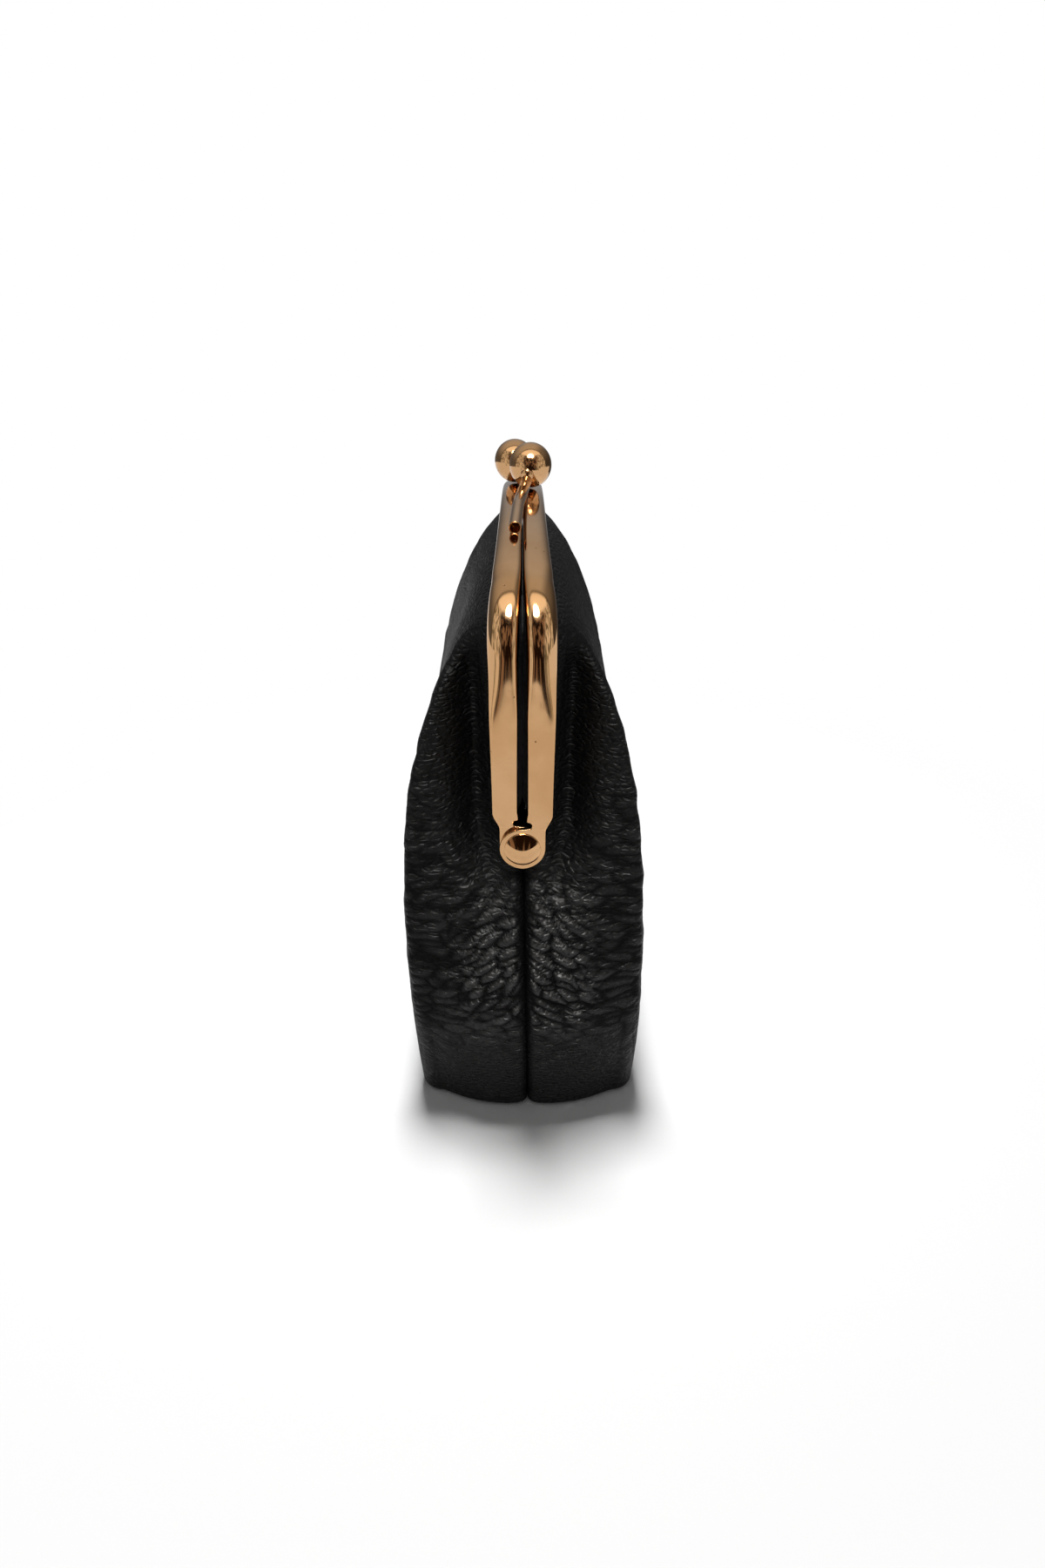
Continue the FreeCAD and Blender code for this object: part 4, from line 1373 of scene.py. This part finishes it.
@dataclass
class LeatherPanel:
    """One half of the leather: wall with grain and folds, seam edges, base edge and half of the floor."""

    side: Side
    wall: PouchWall
    columns: int = 150
    rows: int = 278
    end_columns: float = 1.1
    end_span: tuple = (0.40, 0.12)
    seam_columns: float = 3.0
    seam_fine: float = 1.3
    low_rows: float = 1.7
    low_span: tuple = (-0.52, 0.12)
    open_span: tuple = (-4.0, 12.0)
    seam_zone: tuple = (45.0, 12.0)
    seam_roll: float = 1.7
    seam_gap: float = 0.03
    seam_smooth: float = 0.85
    seam_dull: tuple = (0.3, 1.4)
    base_roll: float = 1.1
    base_ease: float = 14.0
    pillow: float = 0.5
    pillow_reach: float = 2.2
    pucker: float = 0.5
    pucker_at: float = 3.6
    pucker_size: tuple = (1.6, 1.3)
    pebble_height: float = 0.30
    crease_height: float = 0.30
    lump_height: float = 1.1
    wrinkle_height: float = 0.22
    warp: float = 0.9
    warp_cell: float = 4.0
    lump_cell: tuple = (4.4, 4.4, 2.1)
    swell_cell: tuple = (9.0, 8.0, 5.5)
    pebble_cell: tuple = (2.0, 2.0, 1.1)
    ridge_cell: tuple = (6.5, 6.5, 1.9)
    long_cell: tuple = (3.4, 3.4, 1.5)
    fold_cell: tuple = (10.0, 10.0, 2.6)
    wrinkle_cell: tuple = (11.0, 11.0, 2.3)
    softness: float = 1.6
    fan_slope: float = 0.55
    wrinkle_slope: float = 0.8
    wrinkle_at: float = 15.0
    wrinkle_reach: float = 9.0
    facing_x: tuple = (46.0, 12.0)
    facing_normal: tuple = (0.25, 0.5)
    foot_span: tuple = (8.0, 20.0)
    neck_span: tuple = (70.0, 20.0)
    neck_smooth: float = 0.55
    fold_span: tuple = (12.0, 25.0)
    lump_at: float = 35.0
    lump_reach: float = 15.0
    lump_aside: tuple = (6.0, 13.0)
    top_span: tuple = (0.25, 0.55)
    lump_shine: float = 0.70
    ridge_shine: float = 0.17
    floor_rise: float = 0.3
    spine: float = 0.81
    cut: tuple = (0.190, 0.148)
    cut_area: float = 0.0235

    def stations(self) -> Array:
        """Stations of the right half, closer together on the end and most of all beside the seam.

        Returns:
            Rising stations from 0 to 1.
        """
        fine = np.linspace(0, 1, 1201)
        line = self.wall.middle(fine, np.array([0.0]), np.array([0.0]), np.array([0.45, 0.9]))[:, -2:]
        speed = np.linalg.norm(np.gradient(line, fine, axis=0), axis=-1).mean(axis=-1)
        away = np.concatenate([[0.0], np.cumsum(speed[1:] * np.diff(fine))])
        density = 1 + self.end_columns * (1 - eased(fine, self.end_span))
        density = density + self.seam_columns * np.exp(-(away / self.seam_fine) ** 2)
        return spread(speed * density, fine, self.columns)

    def relief(self, points: Array, normal: Array, down: Array) -> tuple[Array, Array, Array]:
        """Height of the grain and folds over the smooth wall.

        Under the hinge, long lumps fan out and down from the seam: their cells are drawn level in Y and in
        Z + fan_slope |Y|. They fade into level ridges on the rest of the ends, and into soft level folds on
        the broad faces. The foot of the wall is nearly smooth, with faint wrinkles that rise away from the
        seam.

        Args:
            points: the smooth wall.
            normal: its outward directions.
            down: 0 in the channel and 1 on the open wall.

        Returns:
            Height in millimetres, a number from 0 in a crease to 1 on a pebble (which sets the painted
            crease shade in the base colour), and how far it is rubbed.
        """
        warp = np.stack([soft_noise(points / self.warp_cell + 31 * n, 5 + n) for n in range(3)], axis=-1)
        bent = points + self.warp * warp
        z = points[..., 2]
        away = np.abs(points[..., 1])
        facing = eased(np.abs(points[..., 0]), self.facing_x)
        facing = facing * eased(np.abs(normal[..., 0]), self.facing_normal)
        upward = (away * facing)[..., None] * np.array([0.0, 0.0, 1.0])
        fan = bent + self.fan_slope * upward
        lumps = pebbles(fan / np.array(self.lump_cell), 11) ** self.softness
        small = pebbles(fan / np.array(self.pebble_cell), 37)
        long_cells = pebbles(bent / np.array(self.long_cell), 23)
        ridges = pebbles(bent / np.array(self.ridge_cell), 29) ** self.softness
        level = soft_noise(bent / np.array(self.fold_cell), 53)
        wrinkles = soft_noise((bent - self.wrinkle_slope * upward) / np.array(self.wrinkle_cell), 67)
        wrinkles = wrinkles * np.exp(-((z - self.wrinkle_at) / self.wrinkle_reach) ** 2)
        swell = soft_noise(bent / np.array(self.swell_cell), 61)
        foot = eased(z, self.foot_span) * (1 - self.neck_smooth * eased(z, self.neck_span))
        lit = facing * np.exp(-((z - self.lump_at) / self.lump_reach) ** 4)
        lit = lit * (1 - eased(away, self.lump_aside))
        plain = facing * (1 - lit)
        broad = 1 - facing
        height = self.lump_height * lit * (lumps + 0.25 * small + 0.8 * swell)
        height = height + self.pebble_height * foot * plain * (1.2 * ridges + 0.4 * small)
        height = height + self.wrinkle_height * facing * wrinkles
        height = height + self.pebble_height * foot * broad * 0.2 * long_cells
        height = height + self.crease_height * foot * (1 - lit) * eased(z, self.fold_span) * level
        grain = lit * np.minimum(lumps, 0.3 + 0.7 * small)
        grain = grain + plain * ridges + broad * (0.65 + 0.35 * long_cells)
        grain = mix(1.0, np.clip(mix(0.8, grain, foot), 0, 1), down)
        tops = eased(grain, self.top_span)
        rubbed = (self.lump_shine * lit + self.ridge_shine * plain) * tops * down
        return height * down, grain, rubbed

    def build(self, leather: Material) -> Object:
        """Mesh of the panel: the wall's outer face with its relief, rolled a quarter circle into the seam.

        Args:
            leather: its finish.

        Returns:
            The piece.
        """
        w = self.wall
        t = self.stations()
        tongue = np.linspace(0, 1, 4)[:-1]
        turn = np.linspace(0, 1, 9)
        fine = np.linspace(w.turn_end, 1, 400)
        reach = w.middle(np.array([0.0, 0.3, 0.6, 1.0]), tongue, turn, fine)[:, -400:]
        speed = np.linalg.norm(np.gradient(reach, fine, axis=1), axis=-1).mean(axis=0)
        density = mix(self.low_rows, 1.0, eased(-fine, self.low_span))
        steps = spread(speed * density, fine, self.rows + 1)[1:]
        points, normal = w.whole(t, tongue, turn, steps)
        lead = len(tongue) + len(turn)
        past_turn = np.arange(points.shape[1]) - lead
        down = eased(past_turn, self.open_span)[None, :] * np.ones((len(points), 1))
        z = points[..., 2]
        points[..., 2] = z + self.base_roll * (1 - smoothstep(z / self.base_ease))
        outer = points + normal * w.leather / 2
        away = np.abs(points[..., 1])
        height, pebble, rubbed = self.relief(outer * np.array([1.0, -self.side.value, 1.0]), normal, down)
        at_seam = (np.abs(points[..., 0]) > self.seam_zone[0]) & (away < self.seam_zone[1])
        roll = np.where(at_seam, np.clip(1 - away / self.seam_roll, 0, 1), 0)
        sunk = self.seam_roll * (1 - np.sqrt(np.maximum(1 - roll ** 2, 0)))
        pillow = np.where(at_seam, np.exp(-(away / self.pillow_reach) ** 2), 0) * self.pillow
        wide, high = self.pucker_size
        pucker = np.exp(-((outer[..., 2] - self.pucker_at) / high) ** 2 - (away / wide) ** 2)
        pucker = np.where(at_seam, pucker, 0) * self.pucker
        height = height * (1 - self.seam_smooth * roll)
        rubbed = rubbed * np.where(at_seam, eased(away, self.seam_dull), 1.0)
        outer = outer + normal * (height - (sunk + pillow) * down - pucker)[..., None]
        outer[..., 1] = np.minimum(outer[..., 1], -self.seam_gap)
        grid = np.concatenate([outer, self.underside(outer, normal)], axis=1)
        grid = w.leaning(grid * np.array([1.0, -self.side.value, 1.0]))
        marks = {}
        for key, numbers in (("pebble", pebble), ("rubbed", rubbed)):
            bottom = np.broadcast_to(numbers[:, -1:], (len(grid), grid.shape[1] - outer.shape[1]))
            marks[key] = np.concatenate([numbers, bottom], axis=1)
        label = self.side.label
        piece = make_piece(label + "_leather", grid, leather, marks=marks)
        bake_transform(piece)
        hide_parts(label + "_leather_panel")
        return piece

    def underside(self, outer: Array, normal: Array) -> Array:
        """Rows that round the base's edge in a quarter circle and cross half the floor to its middle line.

        Args:
            outer: the wall, its last row the top of the rounding.
            normal: the wall's outward directions.

        Returns:
            Columns by rows by three coordinates.
        """
        last = outer[:, -1:]
        inward = unit(-normal[:, -1:] * np.array([1.0, 1.0, 0.0]))
        turn = np.radians(np.linspace(0, 90, 7)[1:])[None, :, None]
        edge = last + inward * self.base_roll * (1 - np.cos(turn))
        edge[..., 2] = last[..., 2] * (1 - np.sin(turn[..., 0]))
        share = np.linspace(0, 1, 15)[1:][None, :, None]
        spine = edge[:, -1:] * np.array([self.spine, 0.0, 0.0]) - np.array([0.0, self.seam_gap, 0.0])
        floor = mix(edge[:, -1:], spine, share)
        floor[..., 2] = self.floor_rise * smoothstep(share[..., 0] * 5)
        return np.concatenate([edge, floor], axis=1)


@dataclass
class LiningPanel:
    """One half of the lining: a loose cloth wall inside the leather and half of its floor."""

    side: Side
    wall: PouchWall
    columns: int = 150
    rows: int = 110
    tight: float = 0.7
    loose: float = 0.95
    floor: float = 2.75
    floor_blend: float = 26.0
    fold: float = 0.3
    fold_cell: tuple = (9.0, 9.0, 26.0)
    small_fold_cell: float = 6.0
    open_span: tuple = (-2.0, 9.0)
    end_span: tuple = (44.0, 6.0)
    seam_room: float = 2.2
    seam_width: float = 2.6
    puff: float = 1.0
    puff_in: float = 4.0
    puff_x: tuple = (30.0, 12.0)
    puff_z: tuple = (56.0, 8.0)
    puff_from: tuple = (-1.5, 2.5)
    puff_until: tuple = (4.0, 4.0)
    seam_gap: float = 0.004
    floor_gap: float = 0.02
    spine: float = 0.81
    cut: tuple = (0.186, 0.146)
    cut_area: float = 0.0225

    def build(self, cloth: Material) -> Object:
        """Mesh of the lining.

        Its folds only ever stand inwards, clear of the leather. Beside the arms it puffs in to the parting
        plane, so that the slit between the closed arms shows cloth.

        Args:
            cloth: its finish.

        Returns:
            The piece.
        """
        w = self.wall
        t = np.linspace(0, 1, self.columns)
        steps = np.linspace(w.turn_end, 1, self.rows + 1)[1:]
        tongue = np.linspace(0, 1, 4)[:-1]
        turn = np.linspace(0, 1, 7)
        points, normal = w.whole(t, tongue, turn, steps)
        lead = len(tongue) + len(turn)
        open_wall = eased(np.arange(points.shape[1]) - lead, self.open_span)[None, :]
        flipped = points * np.array([1.0, -self.side.value, 1.0])
        soft = soft_noise(flipped / np.array(self.fold_cell), 71)
        soft = soft + 0.5 * soft_noise(flipped / self.small_fold_cell, 73)
        inwards = mix(self.tight, self.loose + self.fold * np.clip(soft + 0.5, 0, 1.5), open_wall)
        at_end = eased(np.abs(points[..., 0]), self.end_span)
        at_seam = np.exp(-(points[..., 1] / self.seam_width) ** 2)
        inwards = inwards + self.seam_room * at_end * open_wall * at_seam
        inner = points - normal * inwards[..., None]
        beside = eased(np.abs(inner[..., 0]), self.puff_x) * eased(inner[..., 2], self.puff_z)
        below = np.linalg.norm(np.diff(points, axis=1, prepend=points[:, :1]), axis=-1).cumsum(axis=1)
        below = below - below[:, lead - 1:lead]
        puff = self.puff * beside * eased(below, self.puff_from) * (1 - eased(below, self.puff_until))
        inner[..., 0] -= np.sign(inner[..., 0]) * self.puff_in * puff
        inner[..., 1] *= 1 - puff
        inner[..., 1] = np.minimum(inner[..., 1], -self.seam_gap)
        inner[[0, -1], :, 1] = -self.seam_gap
        z = inner[..., 2]
        inner[..., 2] = z + self.floor * (1 - smoothstep(z / self.floor_blend))
        last = inner[:, -1:].copy()
        last[..., 2] = self.floor
        share = np.linspace(0, 1, 16)[1:][None, :, None]
        spine = last * np.array([self.spine, 0.0, 1.0]) - np.array([0.0, self.floor_gap, 0.0])
        grid = np.concatenate([inner[:, :-1], last, mix(last, spine, share)], axis=1)
        along = np.linalg.norm(np.diff(grid, axis=0, prepend=grid[:1]), axis=-1).cumsum(axis=0)
        below = np.linalg.norm(np.diff(grid, axis=1, prepend=grid[:, :1]), axis=-1).cumsum(axis=1)
        uv = np.stack([along, below], axis=-1) * MM
        grid = w.leaning(grid * np.array([1.0, -self.side.value, 1.0]))
        label = self.side.label
        piece = make_piece(label + "_lining", grid, cloth, uv=uv)
        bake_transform(piece)
        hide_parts(label + "_lining_panel")
        return piece


@dataclass
class PaperCord:
    """Twisted paper packing that wedges the leather in one bow's channel."""

    side: Side
    shape: BowShape
    start: float = 0.129
    radius: float = 0.51
    depth: float = 3.9
    layers: float = 2.17
    foot_lift: float = 1.0
    twist_pitch: float = 3.2
    ply: float = 0.12
    ring_points: int = 16

    def build(self, paper: Material) -> Object:
        """Mesh of the cord: a ring with two plies, r (1 - p + p cos 2a), that turns along the channel.

        Args:
            paper: its finish.

        Returns:
            The piece.
        """
        s = self.shape
        t = np.concatenate([
            np.linspace(self.start, s.arm_top_at, 60),
            np.linspace(s.arm_top_at, s.corner_at, 36)[1:],
            np.linspace(s.corner_at, 1.0, 130)[1:],
        ])
        line, out = s.line(t)
        path = line - out * self.depth
        top_z = s.top - self.depth
        slope = (s.foot_outer - s.middle_outer) / (top_z - s.foot - self.foot_lift)
        path[:, 1] = s.middle_outer - self.layers - self.radius + slope * (top_z - path[:, 2])
        path = np.concatenate([path, path[-2::-1] * np.array([-1.0, 1.0, 1.0])])
        path[:, 1] *= self.side.value
        run = np.concatenate([[0.0], np.linalg.norm(np.diff(path, axis=0), axis=1).cumsum()])
        angle = np.arange(self.ring_points) / self.ring_points * 2 * math.pi
        twist = 2 * math.pi * run[:, None] / self.twist_pitch
        lobes = 1 - self.ply + self.ply * np.cos(2 * (angle[None, :] - twist))
        grid = ring_rows(path, self.radius * lobes)
        label = self.side.label
        piece = make_piece(label + "_paper_packing", grid, paper, closed=True, capped=True)
        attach(piece, self.side.bow)
        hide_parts(label + "_paper_cord")
        return piece


# Studio


@dataclass
class Studio:
    """Pale floor, one soft lamp, a room that only reflections see, and the camera."""

    camera_place: tuple = (0.1742, 0.0, 0.1332)
    camera_tilt: float = 62.4
    lens: float = 17.99
    fill: float = 0.14
    floor_tone: float = 0.95
    floor_span: float = 0.9
    floor_drop: float = 0.0002
    floor_fade: tuple = (0.10, 0.22)
    room_radius: float = 1.3
    wall_tone: tuple = colour(0.018, 0.010, 0.007)
    door_tone: tuple = colour(0.34, 0.24, 0.18)
    side_tone: tuple = colour(1.05, 1.03, 0.98)
    window_tone: tuple = colour(1.60, 1.55, 1.45)
    shade_tone: tuple = colour(0.26, 0.25, 0.20)
    rail_tone: tuple = colour(0.10, 0.09, 0.07)
    back_tone: tuple = colour(0.30, 0.31, 0.32)
    far_tone: tuple = colour(0.15, 0.15, 0.15)
    ceiling_tone: tuple = colour(0.72, 0.71, 0.69)
    ceiling_from: float = 0.74
    rail_narrow: float = 13.0
    corner_shade: float = 0.55
    dome_rise: tuple = (-1.0, 89.9)
    apron_radius: float = 0.305
    apron_height: float = 0.4
    apron_turn: float = 55.0
    skirt_rise: tuple = (-14.0, -1.0)
    skirt_turn: tuple = (125.0, 178.0)
    spot_place: tuple = (0.34, 0.0, 0.50)
    spot_radius: float = 0.16
    spot_core: float = 0.25
    spot_glow: float = 60.0
    spot_tone: tuple = colour(1.0, 0.99, 0.97)
    lamp_place: tuple = (-0.07, -0.02, 0.66)
    lamp_aim: tuple = (0.02, 0.0, 0.0)
    lamp_size: float = 0.11
    lamp_power: float = 4.5

    def world(self) -> None:
        """White to the eye and in reflections, and a softer even light on everything else."""
        world = bpy.data.worlds.new("studio")
        bpy.context.scene.world = world
        world.use_nodes = True
        world.node_tree.nodes.clear()
        sheet = Sheet(world.node_tree)
        path = sheet.add("ShaderNodeLightPath")
        seen = sheet.math("ADD", path.outputs["Is Camera Ray"], path.outputs["Is Glossy Ray"], clamp=True)
        seen = sheet.math("ADD", seen, path.outputs["Is Transmission Ray"], clamp=True)
        inputs = {"Value": seen, "To Min": self.fill, "To Max": 1.0}
        strength = sheet.add("ShaderNodeMapRange", inputs).outputs[0]
        light = sheet.add("ShaderNodeBackground", {"Color": colour(1.0, 1.0, 1.0), "Strength": strength})
        sheet.add("ShaderNodeOutputWorld", {"Surface": light.outputs[0]})

    def floor(self) -> None:
        """Pale floor that fades into the white around it."""
        edges = (-self.floor_span, self.floor_span)
        grid = np.array([[[x, y, -self.floor_drop] for y in edges] for x in edges]) / MM
        material, sheet, place = blank_material("pale_floor")
        far = sheet.add("ShaderNodeVectorMath", {0: place}, operation="LENGTH").outputs["Value"]
        fade = sheet.ramp(far, *self.floor_fade)
        tone = colour(self.floor_tone, self.floor_tone, self.floor_tone)
        paper = sheet.add("ShaderNodeBsdfDiffuse", {"Color": tone})
        clear = sheet.add("ShaderNodeBsdfTransparent")
        both = sheet.add("ShaderNodeMixShader", {0: fade, 1: paper.outputs[0], 2: clear.outputs[0]})
        sheet.add("ShaderNodeOutputMaterial", {"Surface": both.outputs[0]})
        make_piece("floor", grid, material, middle=(0.0, 0.0, -900.0))

    def room_walls(self) -> Material:
        """Glow by direction: streaked walls before the purse, a grey one behind it and a pale ceiling.

        In front, dark streaks in the middle give way to pale sides and to windows above. Behind, the wall
        darkens to its sides, most on +Y, and pales upwards. A dark rail parts the two halves.

        Returns:
            The material.
        """
        material, sheet, place = blank_material("room_walls")
        way = sheet.add("ShaderNodeVectorMath", {0: place}, operation="NORMALIZE").outputs[0]
        parts = sheet.add("ShaderNodeSeparateXYZ", {0: way})
        drift = sheet.math("MULTIPLY", sheet.math("SUBTRACT", sheet.noise(way, 3.0, 3.0, 0.6), 0.5), 0.16)
        ahead = sheet.math("ADD", parts.outputs[0], sheet.math("MULTIPLY", drift, 0.3))
        height = sheet.math("ADD", parts.outputs[2], drift)
        aside = sheet.math("ABSOLUTE", sheet.math("ADD", parts.outputs[1], drift))
        tall = sheet.add("ShaderNodeMapping", {"Vector": way, "Scale": (1.0, 1.0, 0.22)}).outputs[0]
        streaks = sheet.ramp(sheet.noise(tall, 8.0, 2.0), 0.46, 0.60)
        middle = sheet.blend(streaks, self.wall_tone, self.door_tone)
        panes = sheet.ramp(sheet.noise(tall, 13.0, 1.0), 0.42, 0.54)
        sides = sheet.blend(panes, self.shade_tone, self.side_tone)
        front = sheet.blend(sheet.ramp(aside, 0.38, 0.60), middle, sides)
        windows = sheet.ramp(height, self.ceiling_from, self.ceiling_from + 0.1)
        front = sheet.blend(windows, front, self.window_tone)
        back = sheet.blend(sheet.ramp(aside, 0.08, 0.30), self.back_tone, self.far_tone)
        back = sheet.blend(sheet.ramp(parts.outputs[2], 0.2, 1.0), back, self.ceiling_tone)
        dim = sheet.math("MULTIPLY", sheet.ramp(parts.outputs[1], 0.2, 0.6), self.corner_shade)
        back = sheet.blend(dim, back, self.wall_tone)
        tone = sheet.blend(sheet.ramp(ahead, -0.02, 0.03), back, front)
        off_rail = sheet.math("ABSOLUTE", sheet.math("MULTIPLY", ahead, self.rail_narrow))
        rail = sheet.math("SUBTRACT", 1.0, off_rail, clamp=True)
        sheet.glow(sheet.blend(rail, tone, self.rail_tone), 1.0)
        return material

    def ceiling_glow(self) -> Material:
        """Glow of the round ceiling lamp, which fades out to its rim.

        Returns:
            The material.
        """
        material, sheet, place = blank_material("ceiling_lamp")
        inputs = {0: place, 1: self.spot_place}
        far = sheet.add("ShaderNodeVectorMath", inputs, operation="DISTANCE").outputs["Value"]
        core = self.spot_core * self.spot_radius
        sheet.glow(self.spot_tone, sheet.ramp(far, core, self.spot_radius, self.spot_glow, 0.0))
        return material

    @staticmethod
    def turned(radius: Array, height: Array, turn: Sequence[float], columns: int) -> Array:
        """Profile of radius and height carried round Z.

        Args:
            radius: distance from Z of each row.
            height: height of each row.
            turn: first and last angle, in degrees from +X.
            columns: points in a row.

        Returns:
            Rows by columns by three coordinates.
        """
        angle = np.radians(np.linspace(*turn, columns))[None, :]
        out = radius[:, None]
        return np.stack([out * np.cos(angle), out * np.sin(angle), height[:, None] + 0 * angle], axis=-1)

    def room(self) -> None:
        """What only reflections see: a dome, an apron beyond the camera, a low skirt and a ceiling lamp."""
        walls = self.room_walls()
        rise = np.radians(np.linspace(*self.dome_rise, 24))
        dome = self.turned(np.cos(rise), np.sin(rise), (0.0, 360.0), 73)
        up = np.linspace(0.0, self.apron_height, 5) / self.apron_radius
        apron = self.turned(np.ones_like(up), up, (-self.apron_turn, self.apron_turn), 33)
        rise = np.radians(np.linspace(*self.skirt_rise, 5))
        skirt = self.turned(np.cos(rise), np.sin(rise), self.skirt_turn, 17)
        spot = self.turned(np.array([0.01, self.spot_radius]), np.zeros(2), (0.0, 360.0), 41)
        spot = spot + np.array(self.spot_place)
        pieces = [
            make_piece("room", dome * self.room_radius / MM, walls),
            make_piece("apron", apron * self.apron_radius / MM, walls),
            make_piece("skirt", skirt * self.room_radius / MM, walls),
            make_piece("ceiling_lamp", spot / MM, self.ceiling_glow()),
        ]
        for piece in pieces:
            piece.visible_camera = False
            piece.visible_diffuse = False
            piece.visible_shadow = False
            piece.visible_transmission = False

    def lamp(self) -> None:
        """Square soft lamp overhead that is not itself mirrored."""
        data = bpy.data.lights.new("top_lamp", "AREA")
        data.size = self.lamp_size
        data.energy = self.lamp_power
        lamp = bpy.data.objects.new("top_lamp", data)
        lamp.location = self.lamp_place
        back = np.array(self.lamp_place) - np.array(self.lamp_aim)
        flat = math.hypot(back[0], back[1])
        lamp.rotation_euler = (math.atan2(flat, back[2]), 0.0, math.atan2(back[0], -back[1]))
        lamp.visible_glossy = False
        bpy.context.scene.collection.objects.link(lamp)

    def camera(self) -> None:
        """Camera at the photograph's place, near one end of the purse and looking down at it."""
        data = bpy.data.cameras.new("camera")
        data.lens = self.lens
        data.sensor_width = 36.0
        data.clip_start = 0.005
        camera = bpy.data.objects.new("camera", data)
        camera.location = self.camera_place
        camera.rotation_euler = (math.radians(self.camera_tilt), 0.0, math.radians(90.0))
        bpy.context.scene.collection.objects.link(camera)
        bpy.context.scene.camera = camera

    def build(self) -> None:
        """Set up everything around the purse."""
        bpy.context.scene.view_settings.view_transform = "Standard"
        self.world()
        self.floor()
        self.room()
        self.lamp()
        self.camera()


def main() -> None:
    """Build every sub-assembly in order and report its pieces."""
    logging.basicConfig(level=logging.INFO, format="%(message)s")
    effects = Effects()
    gold = GoldPlate().material(effects)
    leather = PebbledLeather().material(effects)
    cloth = LiningCloth().material(effects)
    paper = PressedFibre().material(effects)
    board = PressedFibre(
        "grey_board", colour(0.215, 0.180, 0.133), colour(0.140, 0.115, 0.085), 250.0, 1800.0
    ).material(effects)
    shape = BowShape()
    wall = PouchWall(shape)
    pieces = []
    for side in Side:
        pieces.append(Bow(side, shape, joggled=side is Side.FRONT).build(gold))
        pieces += Clasp(side, shape).build(gold)
        pieces.append(PaperCord(side, shape).build(paper))
        pieces.append(LeatherPanel(side, wall).build(leather))
        pieces.append(LiningPanel(side, wall).build(cloth))
    pieces += [Rivet(end).build(gold) for end in End]
    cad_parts["base_board"].material_slots[0].material = board
    for piece in pieces:
        log.info("%s: %d points, %d faces", piece.name, len(piece.data.vertices), len(piece.data.polygons))
    Studio().build()


if __name__ == "__main__":
    main()
